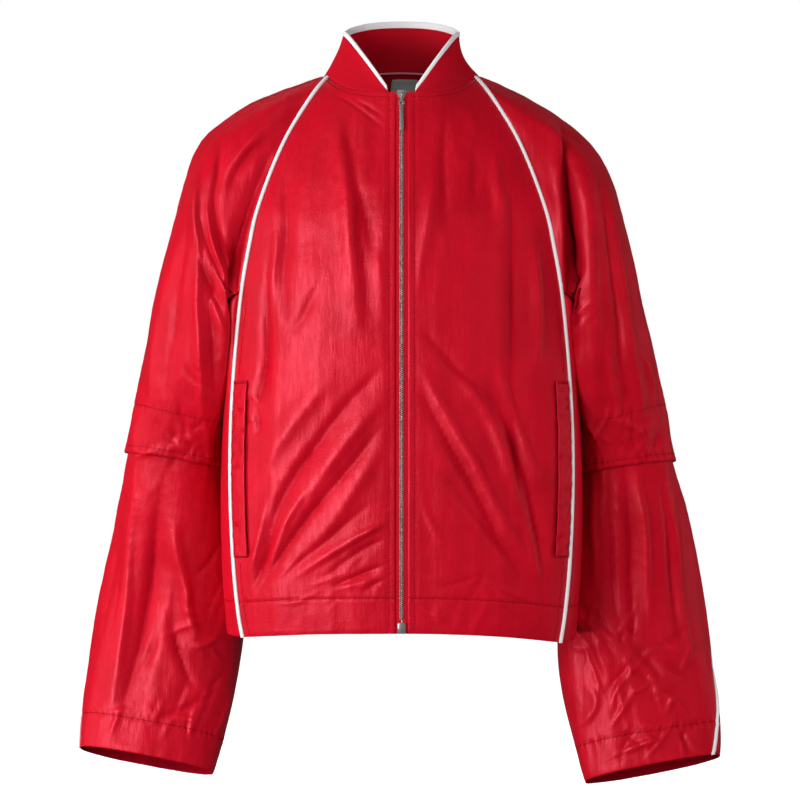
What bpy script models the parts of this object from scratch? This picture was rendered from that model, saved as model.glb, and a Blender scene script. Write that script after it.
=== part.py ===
"""A zipped track jacket with raglan sleeves, as if filled out by a wearer with the arms down.

Millimetres in the tables, metres in the scene. The front faces -Y, the wearer's left is +X, and
the origin lies at the centre of the neck base, level with the high points of the shoulders.
"""

import math

import bmesh
import bpy
import numpy as np
from mathutils import Matrix, Vector
from mathutils.kdtree import KDTree

MM = 0.001
SIDES = {"left": 1, "right": -1}  # the wearer's sides

# Cloth
WALL = 1.8  # nylon with its seam allowance
RIB = 2.4  # collar rib
SEAM_GAP = 0.3
SPLIT_WAY = np.array([0.31, 0.57, -0.76])
BODY_ROUND = 2.3  # exponent of the body's oval sections
SLEEVE_ROUND = 2.3
ZIP_EDGE = 6.5  # from the centre to each front's edge
ARMPIT = 5  # the row of the body tables at the armpit
ARMPIT_DIP = 14.0
HEM_LEAN = 3.0  # the left side hangs this much lower than the middle, and the right side higher
LAST_ROW = 11

# Front: heights at the centre and at the piped seam, then the seam's distance from the centre,
# the oval's half width, the depth at which it is widest, the centre front and the row's droop
FRONT_ROWS = (
    # centre z, seam z, seam x, side x, side y, front y, droop
    (-28.5, -5.0, 84.0, 89.0, 0.0, -92.0, 3.8),
    (-52.0, -32.0, 102.5, 125.0, 0.0, -97.0, 3.8),
    (-90.0, -82.0, 131.0, 176.0, 0.0, -104.0, 3.6),
    (-150.0, -150.0, 157.5, 205.0, -4.0, -118.0, 3.4),
    (-200.0, -200.0, 169.5, 207.0, -12.0, -123.0, 3.2),
    (-250.0, -248.0, 177.7, 204.0, -22.0, -126.0, 3.0),
    (-325.0, -325.0, 186.0, 198.0, -28.0, -127.0, 3.0),
    (-400.0, -402.0, 190.3, 203.0, -30.0, -126.0, 3.0),
    (-475.0, -478.0, 190.5, 205.5, -31.0, -125.0, 3.0),
    (-550.0, -555.0, 187.0, 204.0, -31.0, -123.0, 2.8),
    (-600.0, -608.0, 181.8, 200.5, -30.0, -121.0, 2.6),
    (-627.0, -638.0, 176.8, 198.0, -30.0, -119.0, 2.5),
)
BACK_ROWS = (
    # centre z, seam z, seam x, side x, side y, back y, droop
    (17.0, 10.0, 62.0, 89.0, 0.0, 75.0, 2.0),
    (-8.0, -18.0, 86.0, 140.0, 0.0, 92.0, 2.0),
    (-50.0, -60.0, 112.0, 182.0, 0.0, 108.0, 2.0),
    (-110.0, -125.0, 140.0, 207.0, -1.0, 118.0, 2.0),
    (-180.0, -190.0, 160.0, 207.0, -8.0, 121.0, 2.0),
    (-250.0, -248.0, 172.0, 204.0, -22.0, 120.0, 2.0),
    (-325.0, -325.0, 174.0, 198.0, -28.0, 118.0, 2.0),
    (-400.0, -402.0, 174.0, 203.0, -30.0, 117.0, 2.0),
    (-475.0, -478.0, 174.0, 205.5, -31.0, 116.0, 2.0),
    (-550.0, -555.0, 173.0, 204.0, -31.0, 115.0, 2.0),
    (-600.0, -608.0, 171.0, 200.5, -30.0, 113.0, 2.0),
    (-630.0, -637.0, 169.0, 198.0, -30.0, 112.0, 2.0),
)

# Sleeves: oval rings from the armpit to the cuff. The first two columns place the ring's outermost
# point, the next two its innermost one; then its middle depth, how far it reaches to the front and
# to the back, how far its front is tipped up (degrees) and where the outer seam runs round it
SLEEVE_ROWS = {
    "left": (
        # outer x, outer z, inner x, inner z, mid y, front, back, tip, seam angle
        (275.0, -261.0, 204.5, -287.0, 12.0, 81.0, 80.0, 0.0, -8.0),
        (290.0, -312.5, 201.0, -338.0, 18.0, 80.0, 76.0, 0.0, -8.0),
        (307.0, -382.0, 203.5, -408.0, 32.0, 72.0, 70.0, 2.0, -8.0),
        (322.0, -452.0, 202.0, -478.0, 43.0, 63.0, 62.0, 5.0, -8.0),
        (336.5, -522.5, 194.5, -548.0, 50.0, 57.0, 56.0, 8.0, -6.0),
        (349.0, -593.0, 184.5, -621.0, 54.0, 50.0, 50.0, 11.0, -4.0),
        (359.0, -663.0, 184.5, -691.0, 46.0, 45.0, 45.0, 14.0, 4.0),
        (369.5, -731.0, 199.0, -760.0, 32.0, 40.0, 40.0, 17.0, 20.0),
        (369.0, -783.0, 212.5, -813.0, 18.0, 35.0, 35.0, 20.0, 34.0),
    ),
    "right": (
        (283.0, -261.0, 204.5, -287.0, 12.0, 81.0, 80.0, 0.0, 12.0),
        (293.5, -312.5, 201.0, -338.0, 18.0, 80.0, 76.0, 0.0, 12.0),
        (311.0, -382.0, 203.5, -408.0, 32.0, 72.0, 70.0, 2.0, 12.0),
        (325.5, -452.0, 202.0, -478.0, 43.0, 63.0, 62.0, 5.0, 6.0),
        (334.5, -522.5, 194.5, -548.0, 50.0, 57.0, 56.0, 8.0, -10.0),
        (349.5, -593.0, 184.5, -621.0, 54.0, 50.0, 50.0, 11.0, -13.0),
        (361.0, -663.0, 191.5, -691.0, 46.0, 45.0, 45.0, 14.0, -10.0),
        (370.5, -731.0, 206.0, -758.0, 32.0, 40.0, 40.0, 17.0, -1.0),
        (372.5, -773.5, 218.9, -802.5, 18.0, 35.0, 35.0, 20.0, 6.0),
    ),
}
FIRST_RING = 6.0  # sleeve lengths are counted in rings, and the armhole takes the first six
CUFF = FIRST_RING + len(SLEEVE_ROWS["left"]) - 1
# How the cloth leaves the armhole, every 30 degrees round it from the top by way of the front:
# a direction, the strength of that lead, and the strength with which it runs into the first ring
ARMHOLE_ROWS = (
    # x, y, z, leave, arrive
    (0.87, 0.00, -0.48, 450.0, 570.0),
    (0.82, -0.20, -0.53, 390.0, 470.0),
    (0.78, -0.22, -0.58, 290.0, 350.0),
    (0.76, -0.12, -0.64, 200.0, 250.0),
    (0.80, -0.20, -0.56, 120.0, 140.0),
    (0.80, -0.25, -0.54, 70.0, 85.0),
    (0.50, 0.00, -0.86, 30.0, 35.0),
    (0.85, 0.10, -0.50, 60.0, 70.0),
    (0.80, 0.28, -0.52, 125.0, 145.0),
    (0.80, 0.25, -0.55, 200.0, 250.0),
    (0.83, 0.25, -0.50, 290.0, 350.0),
    (0.85, 0.15, -0.50, 390.0, 470.0),
)
# Below the armhole the front of each sleeve rolls forwards over the side of the body: how far in
# and how far forwards, for each length in rings (down) and angle from the top (across)
ROLL_LENGTHS = (1.0, 2.0, 3.0, 4.0, 5.0, 6.0, 6.7, 7.3, 7.85)
ROLL_ANGLES = (70.0, 86.0, 102.0, 118.0, 134.0, 150.0, 165.0, 180.0)
ROLL_IN = (
    (0.0, 0.0, 0.0, 0.0, 0.0, 0.0, 0.0, 0.0),
    (0.0, 0.0, 0.0, 1.0, 4.0, 3.0, 0.0, 0.0),
    (0.0, 0.0, 1.0, 5.0, 11.0, 4.0, 0.0, 0.0),
    (0.0, 0.0, 3.0, 9.0, 17.0, 8.0, 0.0, 0.0),
    (0.0, 1.0, 5.0, 13.0, 22.0, 10.0, 0.0, 0.0),
    (0.0, 2.0, 6.0, 15.0, 24.0, 9.0, 0.0, 0.0),
    (0.0, 1.0, 5.0, 12.0, 19.0, 6.0, 0.0, 0.0),
    (0.0, 0.0, 2.0, 6.0, 10.0, 3.0, 0.0, 0.0),
    (0.0, 0.0, 0.0, 0.0, 0.0, 0.0, 0.0, 0.0),
)
ROLL_FORWARD = (
    (0.0, 0.0, 0.0, 0.0, 1.0, 2.0, 0.0, 0.0),
    (0.0, 1.0, 3.0, 5.0, 9.0, 8.0, 3.0, 0.0),
    (0.0, 2.0, 5.0, 12.0, 20.0, 16.0, 6.0, 0.0),
    (0.0, 3.0, 8.0, 17.0, 27.0, 20.0, 8.0, 0.0),
    (1.0, 4.0, 10.0, 20.0, 30.0, 22.0, 9.0, 0.0),
    (1.0, 4.0, 11.0, 21.0, 31.0, 22.0, 10.0, 0.0),
    (0.0, 3.0, 9.0, 18.0, 25.0, 18.0, 8.0, 0.0),
    (0.0, 1.0, 4.0, 9.0, 12.0, 8.0, 4.0, 0.0),
    (0.0, 0.0, 0.0, 0.0, 0.0, 0.0, 0.0, 0.0),
)
# How far the top of the shoulder stands out beyond those leads, at each sixth of the way
SHOULDER_FILL = {
    "left": (0.0, 5.6, 8.0, 12.4, 12.2, 6.3, 0.0),
    "right": (0.0, 11.0, 14.8, 15.0, 6.2, 0.0, 0.0),
}
NECK_FRONT, NECK_BACK = 22.0, -30.0  # angles round the armhole where it meets the neck
UNDER_FRONT, UNDER_BACK = 150.0, 210.0  # and where it meets the side panel
FLAP_HEM = {"left": (8.86, 8.70), "right": (8.72, 8.60)}  # outer and inner ends, in rings
FLAP_STITCH = 7.9
FLAP_CLEAR = 3.4  # the lower sleeve starts this far inside the flap

# Collar
COLLAR_HALF_WIDTH = 66.5
COLLAR_FRONT = -76.0
COLLAR_BACK = 62.0
COLLAR_SIDE_Z = 52.0
COLLAR_RISE_BACK = 23.0
COLLAR_END = 15.5  # from the centre, where the collar tapers to nothing at the zip
COLLAR_FLARE, COLLAR_UNEVEN = 2.0, 0.6  # the left of the collar bends in lower than the right
BINDING_HEIGHT = 5.5
BINDING_WALL = 3.4

# Trims
PIPING_HALF = 2.4
PIPING_HIGH = 2.3
LIFT = 0.6  # air under what lies on a panel
WELT_TOP, WELT_BOTTOM = -349.0, -546.0
WELT_FROM, WELT_TO = 4.0, 24.0  # from the piped seam
WELT_THICK = 1.6
TAPE_FROM, TAPE_TO, TAPE_THICK = 0.3, 14.0, 0.9
CHAIN_HALF, CHAIN_THICK = 2.4, 2.2
CHAIN_TOP, CHAIN_BOTTOM = -38.6, -613.0

# The largest folds, as bent lines seen from the front, in millimetres. A ridge has a height above
# zero and a valley one below
FOLDS = (
    # x0, z0, x1, z1, x2, z2, half width, height
    (-74.0, -55.0, -54.0, -189.0, -51.0, -299.0, 13.0, 5.0),
    (-129.0, -110.0, -129.0, -198.0, -129.0, -284.0, 9.0, -4.0),
    (-144.0, -187.0, -152.0, -326.0, -160.0, -370.0, 8.0, -6.0),
    (-49.0, -134.0, -36.0, -178.0, -21.0, -222.0, 9.0, -4.0),
    (-58.0, -366.0, -123.0, -459.0, -134.0, -538.0, 10.0, -8.0),
    (-40.0, -400.0, -98.0, -510.0, -131.0, -549.0, 10.0, -9.0),
    (-65.0, -431.0, -88.0, -471.0, -125.0, -523.0, 9.0, 5.0),
    (47.0, -44.0, 47.0, -112.0, 46.0, -175.0, 8.0, -4.0),
    (103.0, -96.0, 108.0, -142.0, 113.0, -189.0, 9.0, 4.0),
    (120.0, -149.0, 121.0, -259.0, 121.0, -370.0, 9.0, -5.0),
    (148.0, -187.0, 150.0, -259.0, 150.0, -331.0, 9.0, 6.0),
    (36.0, -128.0, 25.0, -192.0, 12.0, -257.0, 9.0, 4.0),
    (17.0, -290.0, 49.0, -324.0, 86.0, -354.0, 9.0, -4.0),
    (42.0, -400.0, 80.0, -454.0, 115.0, -510.0, 9.0, -6.0),
    (63.0, -366.0, 97.0, -427.0, 121.0, -493.0, 10.0, 5.0),
    (28.0, -458.0, 90.0, -520.0, 151.0, -590.0, 9.0, -5.0),
    (-152.0, -101.0, -188.0, -190.0, -202.0, -250.0, 13.0, -13.0),
    (-227.0, -129.0, -227.0, -247.0, -228.0, -370.0, 11.0, 7.0),
    (-241.0, -146.0, -253.0, -257.0, -268.0, -370.0, 16.0, -6.0),
    (-204.0, -84.0, -205.0, -123.0, -208.0, -163.0, 9.0, -5.0),
    (-316.0, -492.0, -326.0, -571.0, -337.0, -648.0, 11.0, 5.0),
    (-277.0, -444.0, -277.0, -531.0, -279.0, -618.0, 16.0, -6.0),
    (-253.0, -447.0, -238.0, -493.0, -223.0, -540.0, 10.0, 5.0),
    (-262.0, -603.0, -246.0, -662.0, -228.0, -721.0, 10.0, 5.0),
    (197.0, -107.0, 192.0, -175.0, 204.0, -250.0, 12.0, -13.0),
    (161.0, -56.0, 176.0, -79.0, 189.0, -101.0, 9.0, 4.0),
    (217.0, -112.0, 228.0, -163.0, 236.0, -213.0, 10.0, 6.0),
    (219.0, -213.0, 226.0, -282.0, 231.0, -353.0, 10.0, 5.0),
    (208.0, -157.0, 227.0, -241.0, 248.0, -325.0, 12.0, -6.0),
    (233.0, -462.0, 232.0, -525.0, 233.0, -588.0, 10.0, -5.0),
    (264.0, -462.0, 264.0, -540.0, 264.0, -618.0, 11.0, 5.0),
    (288.0, -453.0, 288.0, -551.0, 288.0, -648.0, 10.0, -6.0),
    (262.0, -651.0, 279.0, -670.0, 297.0, -691.0, 7.0, -4.0),
)
# The hidden side has folds of the same kind
BACK_FOLDS = (
    (-95.0, -70.0, -80.0, -150.0, -70.0, -240.0, 14.0, -5.0),
    (90.0, -80.0, 84.0, -160.0, 78.0, -250.0, 14.0, -5.0),
    (-20.0, -300.0, -60.0, -420.0, -120.0, -540.0, 14.0, -6.0),
    (30.0, -330.0, 75.0, -440.0, 125.0, -560.0, 14.0, -6.0),
    (10.0, -120.0, 4.0, -240.0, 8.0, -350.0, 13.0, 4.0),
    (-140.0, -280.0, -130.0, -380.0, -138.0, -480.0, 11.0, 4.0),
    (136.0, -260.0, 140.0, -350.0, 136.0, -450.0, 11.0, 4.0),
    (-236.0, -140.0, -248.0, -240.0, -262.0, -350.0, 14.0, -6.0),
    (232.0, -150.0, 246.0, -240.0, 262.0, -340.0, 14.0, -6.0),
    (-280.0, -480.0, -290.0, -580.0, -288.0, -680.0, 14.0, 5.0),
    (282.0, -480.0, 292.0, -580.0, 290.0, -680.0, 14.0, 5.0),
)

# Hardware, in the slider's own frame: across, up the zip, out from the cloth
SLIDER_AT = -38.0  # height of the slider's lower tip
SLIDER_HIGH, SLIDER_TOP_HALF, SLIDER_TIP = 10.6, 5.6, 2.5
PLATE_BACK, PLATE_FRONT = -1.8, 0.4
PIN_UP, PIN_OUT, PIN_RADIUS = 2.0, 2.75, 0.95
LUG_IN, LUG_OUT = 1.5, 2.6
KNUCKLE_RADIUS, KNUCKLE_BORE, KNUCKLE_HALF = 1.95, 1.03, 1.1
PULL_THICK = 1.6
EYE_DOWN, EYE_RADIUS, EYE_HOLE = -5.2, 3.4, 1.4
BLADE_TOP_HALF, BLADE_END_HALF, BLADE_END = 1.45, 2.35, -34.6
BOX_WIDE, BOX_HIGH, BOX_FRONT = 9.0, 12.0, 2.2
LABEL = {"left": 23.0, "right": -13.0, "top": 11.0, "bottom": -31.0, "thick": 0.8}

COLOURS = {
    # red, green, blue, roughness, metallic
    "red nylon": (0.52, 0.008, 0.026, 0.38, 0.0),
    "red rib": (0.62, 0.01, 0.03, 0.8, 0.0),
    "white piping": (0.78, 0.77, 0.79, 0.6, 0.0),
    "red tape": (0.45, 0.006, 0.02, 0.85, 0.0),
    "nickel": (0.45, 0.43, 0.42, 0.3, 1.0),
    "grey label": (0.05, 0.052, 0.05, 0.8, 0.0),
}


def through(rows, at):
    """Values between the rows of a table, on a smooth curve through them."""
    rows = np.asarray(rows, float)
    at = np.clip(np.asarray(at, float), 0, len(rows) - 1)
    slopes = np.gradient(rows, axis=0)
    low = np.minimum(at.astype(int), len(rows) - 2)
    part = (at - low)[..., None]
    square, cube = part**2, part**3
    return (
        rows[low] * (2 * cube - 3 * square + 1)
        + slopes[low] * (cube - 2 * square + part)
        + rows[low + 1] * (3 * square - 2 * cube)
        + slopes[low + 1] * (cube - square)
    )


def bow(share, power=BODY_ROUND):
    """Depth of an oval at a share of its half width."""
    return np.maximum(1 - np.abs(share) ** power, 0) ** (1 / power)


def oval(angle, power):
    """Cosine and sine of a squarish circle."""
    c, s = np.cos(angle), np.sin(angle)
    return (
        np.sign(c) * np.abs(c) ** (2 / power),
        np.sign(s) * np.abs(s) ** (2 / power),
    )


def unit(vectors):
    return vectors / np.maximum(np.linalg.norm(vectors, axis=-1, keepdims=True), 1e-9)


def lean(row, share, side):
    """How far a point is lowered by the slant of the hem."""
    near_hem = np.clip((row - 8) / 3, 0, 1) ** 2
    return side * HEM_LEAN * near_hem * share**2


def front_point(row, share, side):
    """On a front, at a share of the way from the zip edge to the piped seam."""
    mid_z, seam_z, seam_x, side_x, side_y, front_y, droop = np.moveaxis(through(FRONT_ROWS, row), -1, 0)
    x = ZIP_EDGE + (seam_x - ZIP_EDGE) * share
    z = mid_z + (seam_z - mid_z) * (x / seam_x) ** droop - lean(row, x / seam_x, side)
    y = side_y - (side_y - front_y) * bow(x / side_x)
    return np.stack(np.broadcast_arrays(side * x, y, z), -1)


def back_point(row, share):
    """On the back, from -1 at the right seam to 1 at the left one."""
    mid_z, seam_z, seam_x, side_x, side_y, back_y, droop = np.moveaxis(through(BACK_ROWS, row), -1, 0)
    x = seam_x * share
    z = mid_z + (seam_z - mid_z) * np.abs(share) ** droop
    z = z - lean(row, share, 1) * np.sign(share)
    y = side_y + (back_y - side_y) * bow(x / side_x)
    return np.stack(np.broadcast_arrays(x, y, z), -1)


def side_point(row, share, side):
    """On a side panel, from the piped seam to the back seam."""
    front = np.moveaxis(through(FRONT_ROWS, row), -1, 0)
    back = np.moveaxis(through(BACK_ROWS, row), -1, 0)
    side_x, side_y = front[3:5] + (back[3:5] - front[3:5]) * share
    first = np.arcsin((front[2] / front[3]) ** (BODY_ROUND / 2))
    last = math.pi - np.arcsin((back[2] / back[3]) ** (BODY_ROUND / 2))
    angle = first + (last - first) * share
    c, s = oval(angle, BODY_ROUND)
    depth = np.where(c > 0, side_y - front[5], back[5] - side_y)
    dip = ARMPIT_DIP * np.clip(1 - (row - ARMPIT) / 2.5, 0, 1) ** 2
    z = front[1] + (back[1] - front[1]) * share - dip * np.sin(math.pi * share)
    z = z - lean(row, np.ones_like(share), side)
    return np.stack(np.broadcast_arrays(side * side_x * s, side_y - depth * c, z), -1)


def neck_point(share, side):
    """On the neck seam of a sleeve, from the front raglan seam to the back one."""
    front_end = front_point(np.float64(0), np.float64(1), 1)
    back_end = back_point(np.float64(0), np.float64(1))
    width = FRONT_ROWS[0][3]
    first = math.asin((front_end[0] / width) ** (BODY_ROUND / 2))
    last = math.pi - math.asin((back_end[0] / width) ** (BODY_ROUND / 2))
    c, s = oval(first + (last - first) * share, BODY_ROUND)
    y = np.where(c > 0, FRONT_ROWS[0][5] * c, -BACK_ROWS[0][5] * c)
    top = 3.4
    z = np.where(
        y < 0,
        top + (front_end[2] - top) * y / front_end[1],
        top + (back_end[2] - top) * y / back_end[1],
    )
    return np.stack(np.broadcast_arrays(side * width * s, y, z), -1)


def seam_row(rows, height):
    """The row of a table whose seam is at this height, above the armpit."""
    fine = np.linspace(0, ARMPIT, 501)
    heights = through(rows, fine)[:, 1]
    return np.interp(-height, -heights, fine)


def raglan_row(rows, angle, first, last):
    """The body row at an angle round the armhole, between its neck and its underarm."""
    position = oval(np.radians(angle), SLEEVE_ROUND)[0]
    start, end = (oval(math.radians(a), SLEEVE_ROUND)[0] for a in (first, last))
    share = (start - position) / (start - end)
    return seam_row(rows, rows[0][1] + (rows[ARMPIT][1] - rows[0][1]) * share)


def armhole_point(angle, side):
    """On the seam where a sleeve joins the body and the collar; angles in degrees from the top."""
    angle = (angle + 180) % 360 - 180
    if NECK_BACK <= angle <= NECK_FRONT:
        share = (NECK_FRONT - angle) / (NECK_FRONT - NECK_BACK)
        return neck_point(np.float64(share), side)
    if NECK_FRONT < angle < UNDER_FRONT:
        row = raglan_row(FRONT_ROWS, angle, NECK_FRONT, UNDER_FRONT)
        return front_point(row, np.float64(1), side)
    if UNDER_BACK - 360 < angle < NECK_BACK:
        row = raglan_row(BACK_ROWS, angle, NECK_BACK, UNDER_BACK - 360)
        return back_point(row, np.float64(1)) * np.array([side, 1, 1])
    share = (angle % 360 - UNDER_FRONT) / (UNDER_BACK - UNDER_FRONT)
    return side_point(np.float64(ARMPIT), np.float64(share), side)


def ring_point(values, angle, side):
    """On one oval ring of a sleeve."""
    outer_x, outer_z, inner_x, inner_z, mid_y, front, back, tip = values[:8]
    c, s = oval(math.radians(angle), SLEEVE_ROUND)
    depth = front if s > 0 else back
    return np.array(
        [
            side * ((outer_x + inner_x) / 2 + (outer_x - inner_x) / 2 * c),
            mid_y - depth * s * math.cos(math.radians(tip)),
            (outer_z + inner_z) / 2 + (outer_z - inner_z) / 2 * c + depth * s * math.sin(math.radians(tip)),
        ]
    )


def roll(angle, length, side):
    """How far a point of a sleeve is moved by the roll below the armhole."""
    if not (ROLL_ANGLES[0] < angle < ROLL_ANGLES[-1] and ROLL_LENGTHS[0] < length < ROLL_LENGTHS[-1]):
        return np.zeros(3)
    row = np.interp(length, ROLL_LENGTHS, np.arange(len(ROLL_LENGTHS)))
    column = np.interp(angle, ROLL_ANGLES, np.arange(len(ROLL_ANGLES)))
    inward, forward = (through(through(table, row), column)[0] for table in (ROLL_IN, ROLL_FORWARD))
    return np.array([-side * inward, -forward, 0.0])


def sleeve_point(angle, length, name):
    """On a sleeve, at an angle round it and a length along it in rings."""
    side = SIDES[name]
    rows = SLEEVE_ROWS[name]
    if length >= FIRST_RING:
        return ring_point(through(rows, length - FIRST_RING), angle, side) + roll(angle, length, side)
    start = armhole_point(angle, side)
    end = ring_point(rows[0], angle, side)
    around = np.asarray(ARMHOLE_ROWS + ARMHOLE_ROWS[:2], float)
    lead = through(around, (angle % 360) / 30)
    if angle % 360 < 30:
        lead = through(np.roll(around[:12], 1, axis=0), (angle % 360) / 30 + 1)
    away = unit(lead[:3] * np.array([side, 1, 1])) * lead[3]
    onward = unit(ring_point(rows[1], angle, side) - end) * lead[4]
    part = length / FIRST_RING
    square, cube = part**2, part**3
    point = (
        start * (2 * cube - 3 * square + 1)
        + away * (cube - 2 * square + part)
        + end * (3 * square - 2 * cube)
        + onward * (cube - square)
    )
    fill = through([(k,) for k in SHOULDER_FILL[name]], length)[0]
    slope = math.radians(65 - 9 * length)
    top = fill * math.cos(math.radians(angle) / 2) ** 4
    point = point + roll(angle, length, side)
    return point + top * np.array([side * math.cos(slope), 0, math.sin(slope)])


def seam_angle(length, name):
    """Where the outer seam runs round a sleeve, in degrees."""
    return float(through(SLEEVE_ROWS[name], max(length - FIRST_RING, 0))[8])


def flap_end(angle, name):
    """Length of the upper sleeve down to the flap's hem."""
    outer, inner = FLAP_HEM[name]
    share = (1 + math.cos(math.radians(angle))) / 2
    return inner + (outer - inner) * share


def collar_top(angle):
    """Upper edge of the collar, in degrees round the neck from the centre front."""
    c, s = oval(math.radians(angle), BODY_ROUND)
    x = COLLAR_HALF_WIDTH * s
    share = (x - COLLAR_END - 1.5) / (COLLAR_HALF_WIDTH - COLLAR_END - 1.5)
    if c > 0:
        front = FRONT_ROWS[0][5] + 1 + (COLLAR_FRONT - FRONT_ROWS[0][5]) * max(share, 0)
        return np.array([x, front * c, -20.5 + (COLLAR_SIDE_Z + 20.5) * share])
    rise = COLLAR_RISE_BACK * math.sin(math.radians(angle - 90))
    return np.array([x, -COLLAR_BACK * c, COLLAR_SIDE_Z + rise])


def neck_angle(point):
    """Angle of a point of the neck seam round the neck, in degrees from the centre front."""
    share = min(abs(point[0]) / FRONT_ROWS[0][3], 1)
    angle = math.degrees(math.asin(share ** (BODY_ROUND / 2)))
    return angle if point[1] < 0 else 180 - angle


def collar_point(base, share):
    """Up the collar from a point of the neck seam."""
    first = neck_angle([COLLAR_END, -1])
    top_first = math.degrees(math.asin(((COLLAR_END + 1.5) / COLLAR_HALF_WIDTH) ** (BODY_ROUND / 2)))
    spread = (neck_angle(base) - first) / (180 - first)
    top = collar_top(top_first + (180 - top_first) * spread)
    if base[0] < 0:
        top = top * np.array([-1, 1, 1])
    inward = 1 - (1 - share) ** (COLLAR_FLARE + COLLAR_UNEVEN * np.clip(base[0] / 60, -1, 1))
    blend = np.array([inward, inward, share])
    return base + (top - base) * blend


# Where the panels' rows and columns run
RAGLAN_FRONT = [NECK_FRONT + 16 * k for k in range(9)]
RAGLAN_BACK = [NECK_BACK - 15 * k for k in range(9)]
UNDER = [150.0, 165.0, 180.0]
NECK_STEPS = 3
BODY_STEPS = 16


def body_rows(rows, angles, first, last):
    above = [float(raglan_row(rows, a, first, last)) for a in angles]
    above[0], above[-1] = 0.0, float(ARMPIT)
    below = [ARMPIT + (LAST_ROW - ARMPIT) * (k + 1) / BODY_STEPS for k in range(BODY_STEPS)]
    return np.array(above + below)


def front_columns():
    neck_x = FRONT_ROWS[0][2]
    first = math.asin(COLLAR_END / neck_x * math.sin(math.radians(76)))
    angles = np.linspace(first, math.radians(76), 9)
    x = neck_x * np.sin(angles) / math.sin(math.radians(76))
    return np.concatenate([[0.0], (x - ZIP_EDGE) / (neck_x - ZIP_EDGE)])


def front_grid(side):
    rows = body_rows(FRONT_ROWS, RAGLAN_FRONT, NECK_FRONT, UNDER_FRONT)
    return front_point(rows[:, None], front_columns()[None, :], side)


def back_grid():
    rows = body_rows(BACK_ROWS, RAGLAN_BACK, NECK_BACK, UNDER_BACK - 360)
    half = np.sin(np.linspace(0, math.radians(78), 9)) / math.sin(math.radians(78))
    return back_point(rows[:, None], np.concatenate([-half[:0:-1], half])[None, :])


def side_grid(side):
    rows = body_rows(FRONT_ROWS, RAGLAN_FRONT, NECK_FRONT, UNDER_FRONT)[len(RAGLAN_FRONT) - 1 :]
    return side_point(rows[:, None], np.linspace(0, 1, 5)[None, :], side)


def upper_angles(length, name, forward):
    """Angles of the upper sleeve's columns, from the outer seam to the one under the arm."""
    seam = seam_angle(length, name)
    neck = NECK_FRONT if forward else NECK_BACK
    first = [seam + (neck - seam) * k / NECK_STEPS for k in range(NECK_STEPS)]
    if forward:
        return first + RAGLAN_FRONT + UNDER[1:]
    return first + RAGLAN_BACK + [-a for a in UNDER[1:]]


def upper_grid(name, forward):
    steps = 18
    grid = []
    for k in range(steps + 1):
        share = k / steps
        angles = upper_angles(share * 8.7, name, forward)
        grid.append([sleeve_point(a, share * flap_end(a, name), name) for a in angles])
    return np.array(grid)


def lower_grid(name, forward):
    steps, columns = 11, 12
    grid = []
    for k in range(steps + 1):
        length = FLAP_STITCH + (CUFF - FLAP_STITCH) * k / steps
        seam = seam_angle(length, name)
        end = 180 if forward else -180
        angles = [seam + (end - seam) * j / columns for j in range(columns + 1)]
        grid.append([sleeve_point(a, length, name) for a in angles])
    return np.array(grid)


def collar_base():
    """Points of the neck seam that the collar shares with fronts, sleeves and back."""
    halves = []
    whole_back = back_grid()[0]
    for name, side in SIDES.items():
        front = front_grid(side)[0, 1:]
        over = upper_grid(name, True)[0, NECK_STEPS - 1 :: -1]
        behind = upper_grid(name, False)[0, 1 : NECK_STEPS + 1]
        back = whole_back[8:][::-1] if side > 0 else whole_back[:9]
        halves.append(np.concatenate([front, over, behind, back[1:]]))
    return np.concatenate([halves[0], halves[1][-2::-1]])


def collar_grids():
    base = collar_base()
    heights = np.linalg.norm([collar_point(p, 1) - p for p in base], axis=1)
    split = 1 - (BINDING_HEIGHT + SEAM_GAP / 2) / heights
    collar = [[collar_point(p, s * k / 4) for p, s in zip(base, split)] for k in range(5)]
    binding = [[collar_point(p, s + (1 - s) * k) for p, s in zip(base, split)] for k in (0, 1)]
    return np.array(collar), np.array(binding)


def grid_normals(grid):
    """Normals of a grid from its own rows and columns."""
    return unit(np.cross(np.gradient(grid, axis=1), np.gradient(grid, axis=0)))


def flat_beside(points):
    """Nought beside the zip and the piped seam, where the cloth is held flat, and one away from them."""
    heights, seams = zip(*((-row[1], row[2]) for row in FRONT_ROWS))
    across = np.abs(points[:, 0])
    from_seam = np.abs(across - np.interp(-points[:, 2], heights, seams))
    from_zip = np.where(points[:, 1] < 0, across, 99)
    return np.clip((from_seam - 6) / 20, 0, 1) * np.clip((from_zip - 14) / 20, 0, 1)


def fold_height(points, table):
    """Sum of the folds' heights at points, from their place seen from the front."""
    total = np.zeros(len(points))
    for x0, z0, x1, z1, x2, z2, half_width, height in table:
        t = np.linspace(0, 1, 17)
        bend_x, bend_z = 2 * x1 - (x0 + x2) / 2, 2 * z1 - (z0 + z2) / 2
        line_x = (1 - t) ** 2 * x0 + 2 * t * (1 - t) * bend_x + t**2 * x2
        line_z = (1 - t) ** 2 * z0 + 2 * t * (1 - t) * bend_z + t**2 * z2
        away = np.hypot(points[:, :1] - line_x, points[:, 2:] - line_z)
        nearest = away.argmin(axis=1)
        fade = np.sin(math.pi * (0.06 + 0.88 * t[nearest])) ** 0.8
        total += height * fade * np.exp(-((away.min(axis=1) / half_width) ** 2))
    return total


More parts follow.
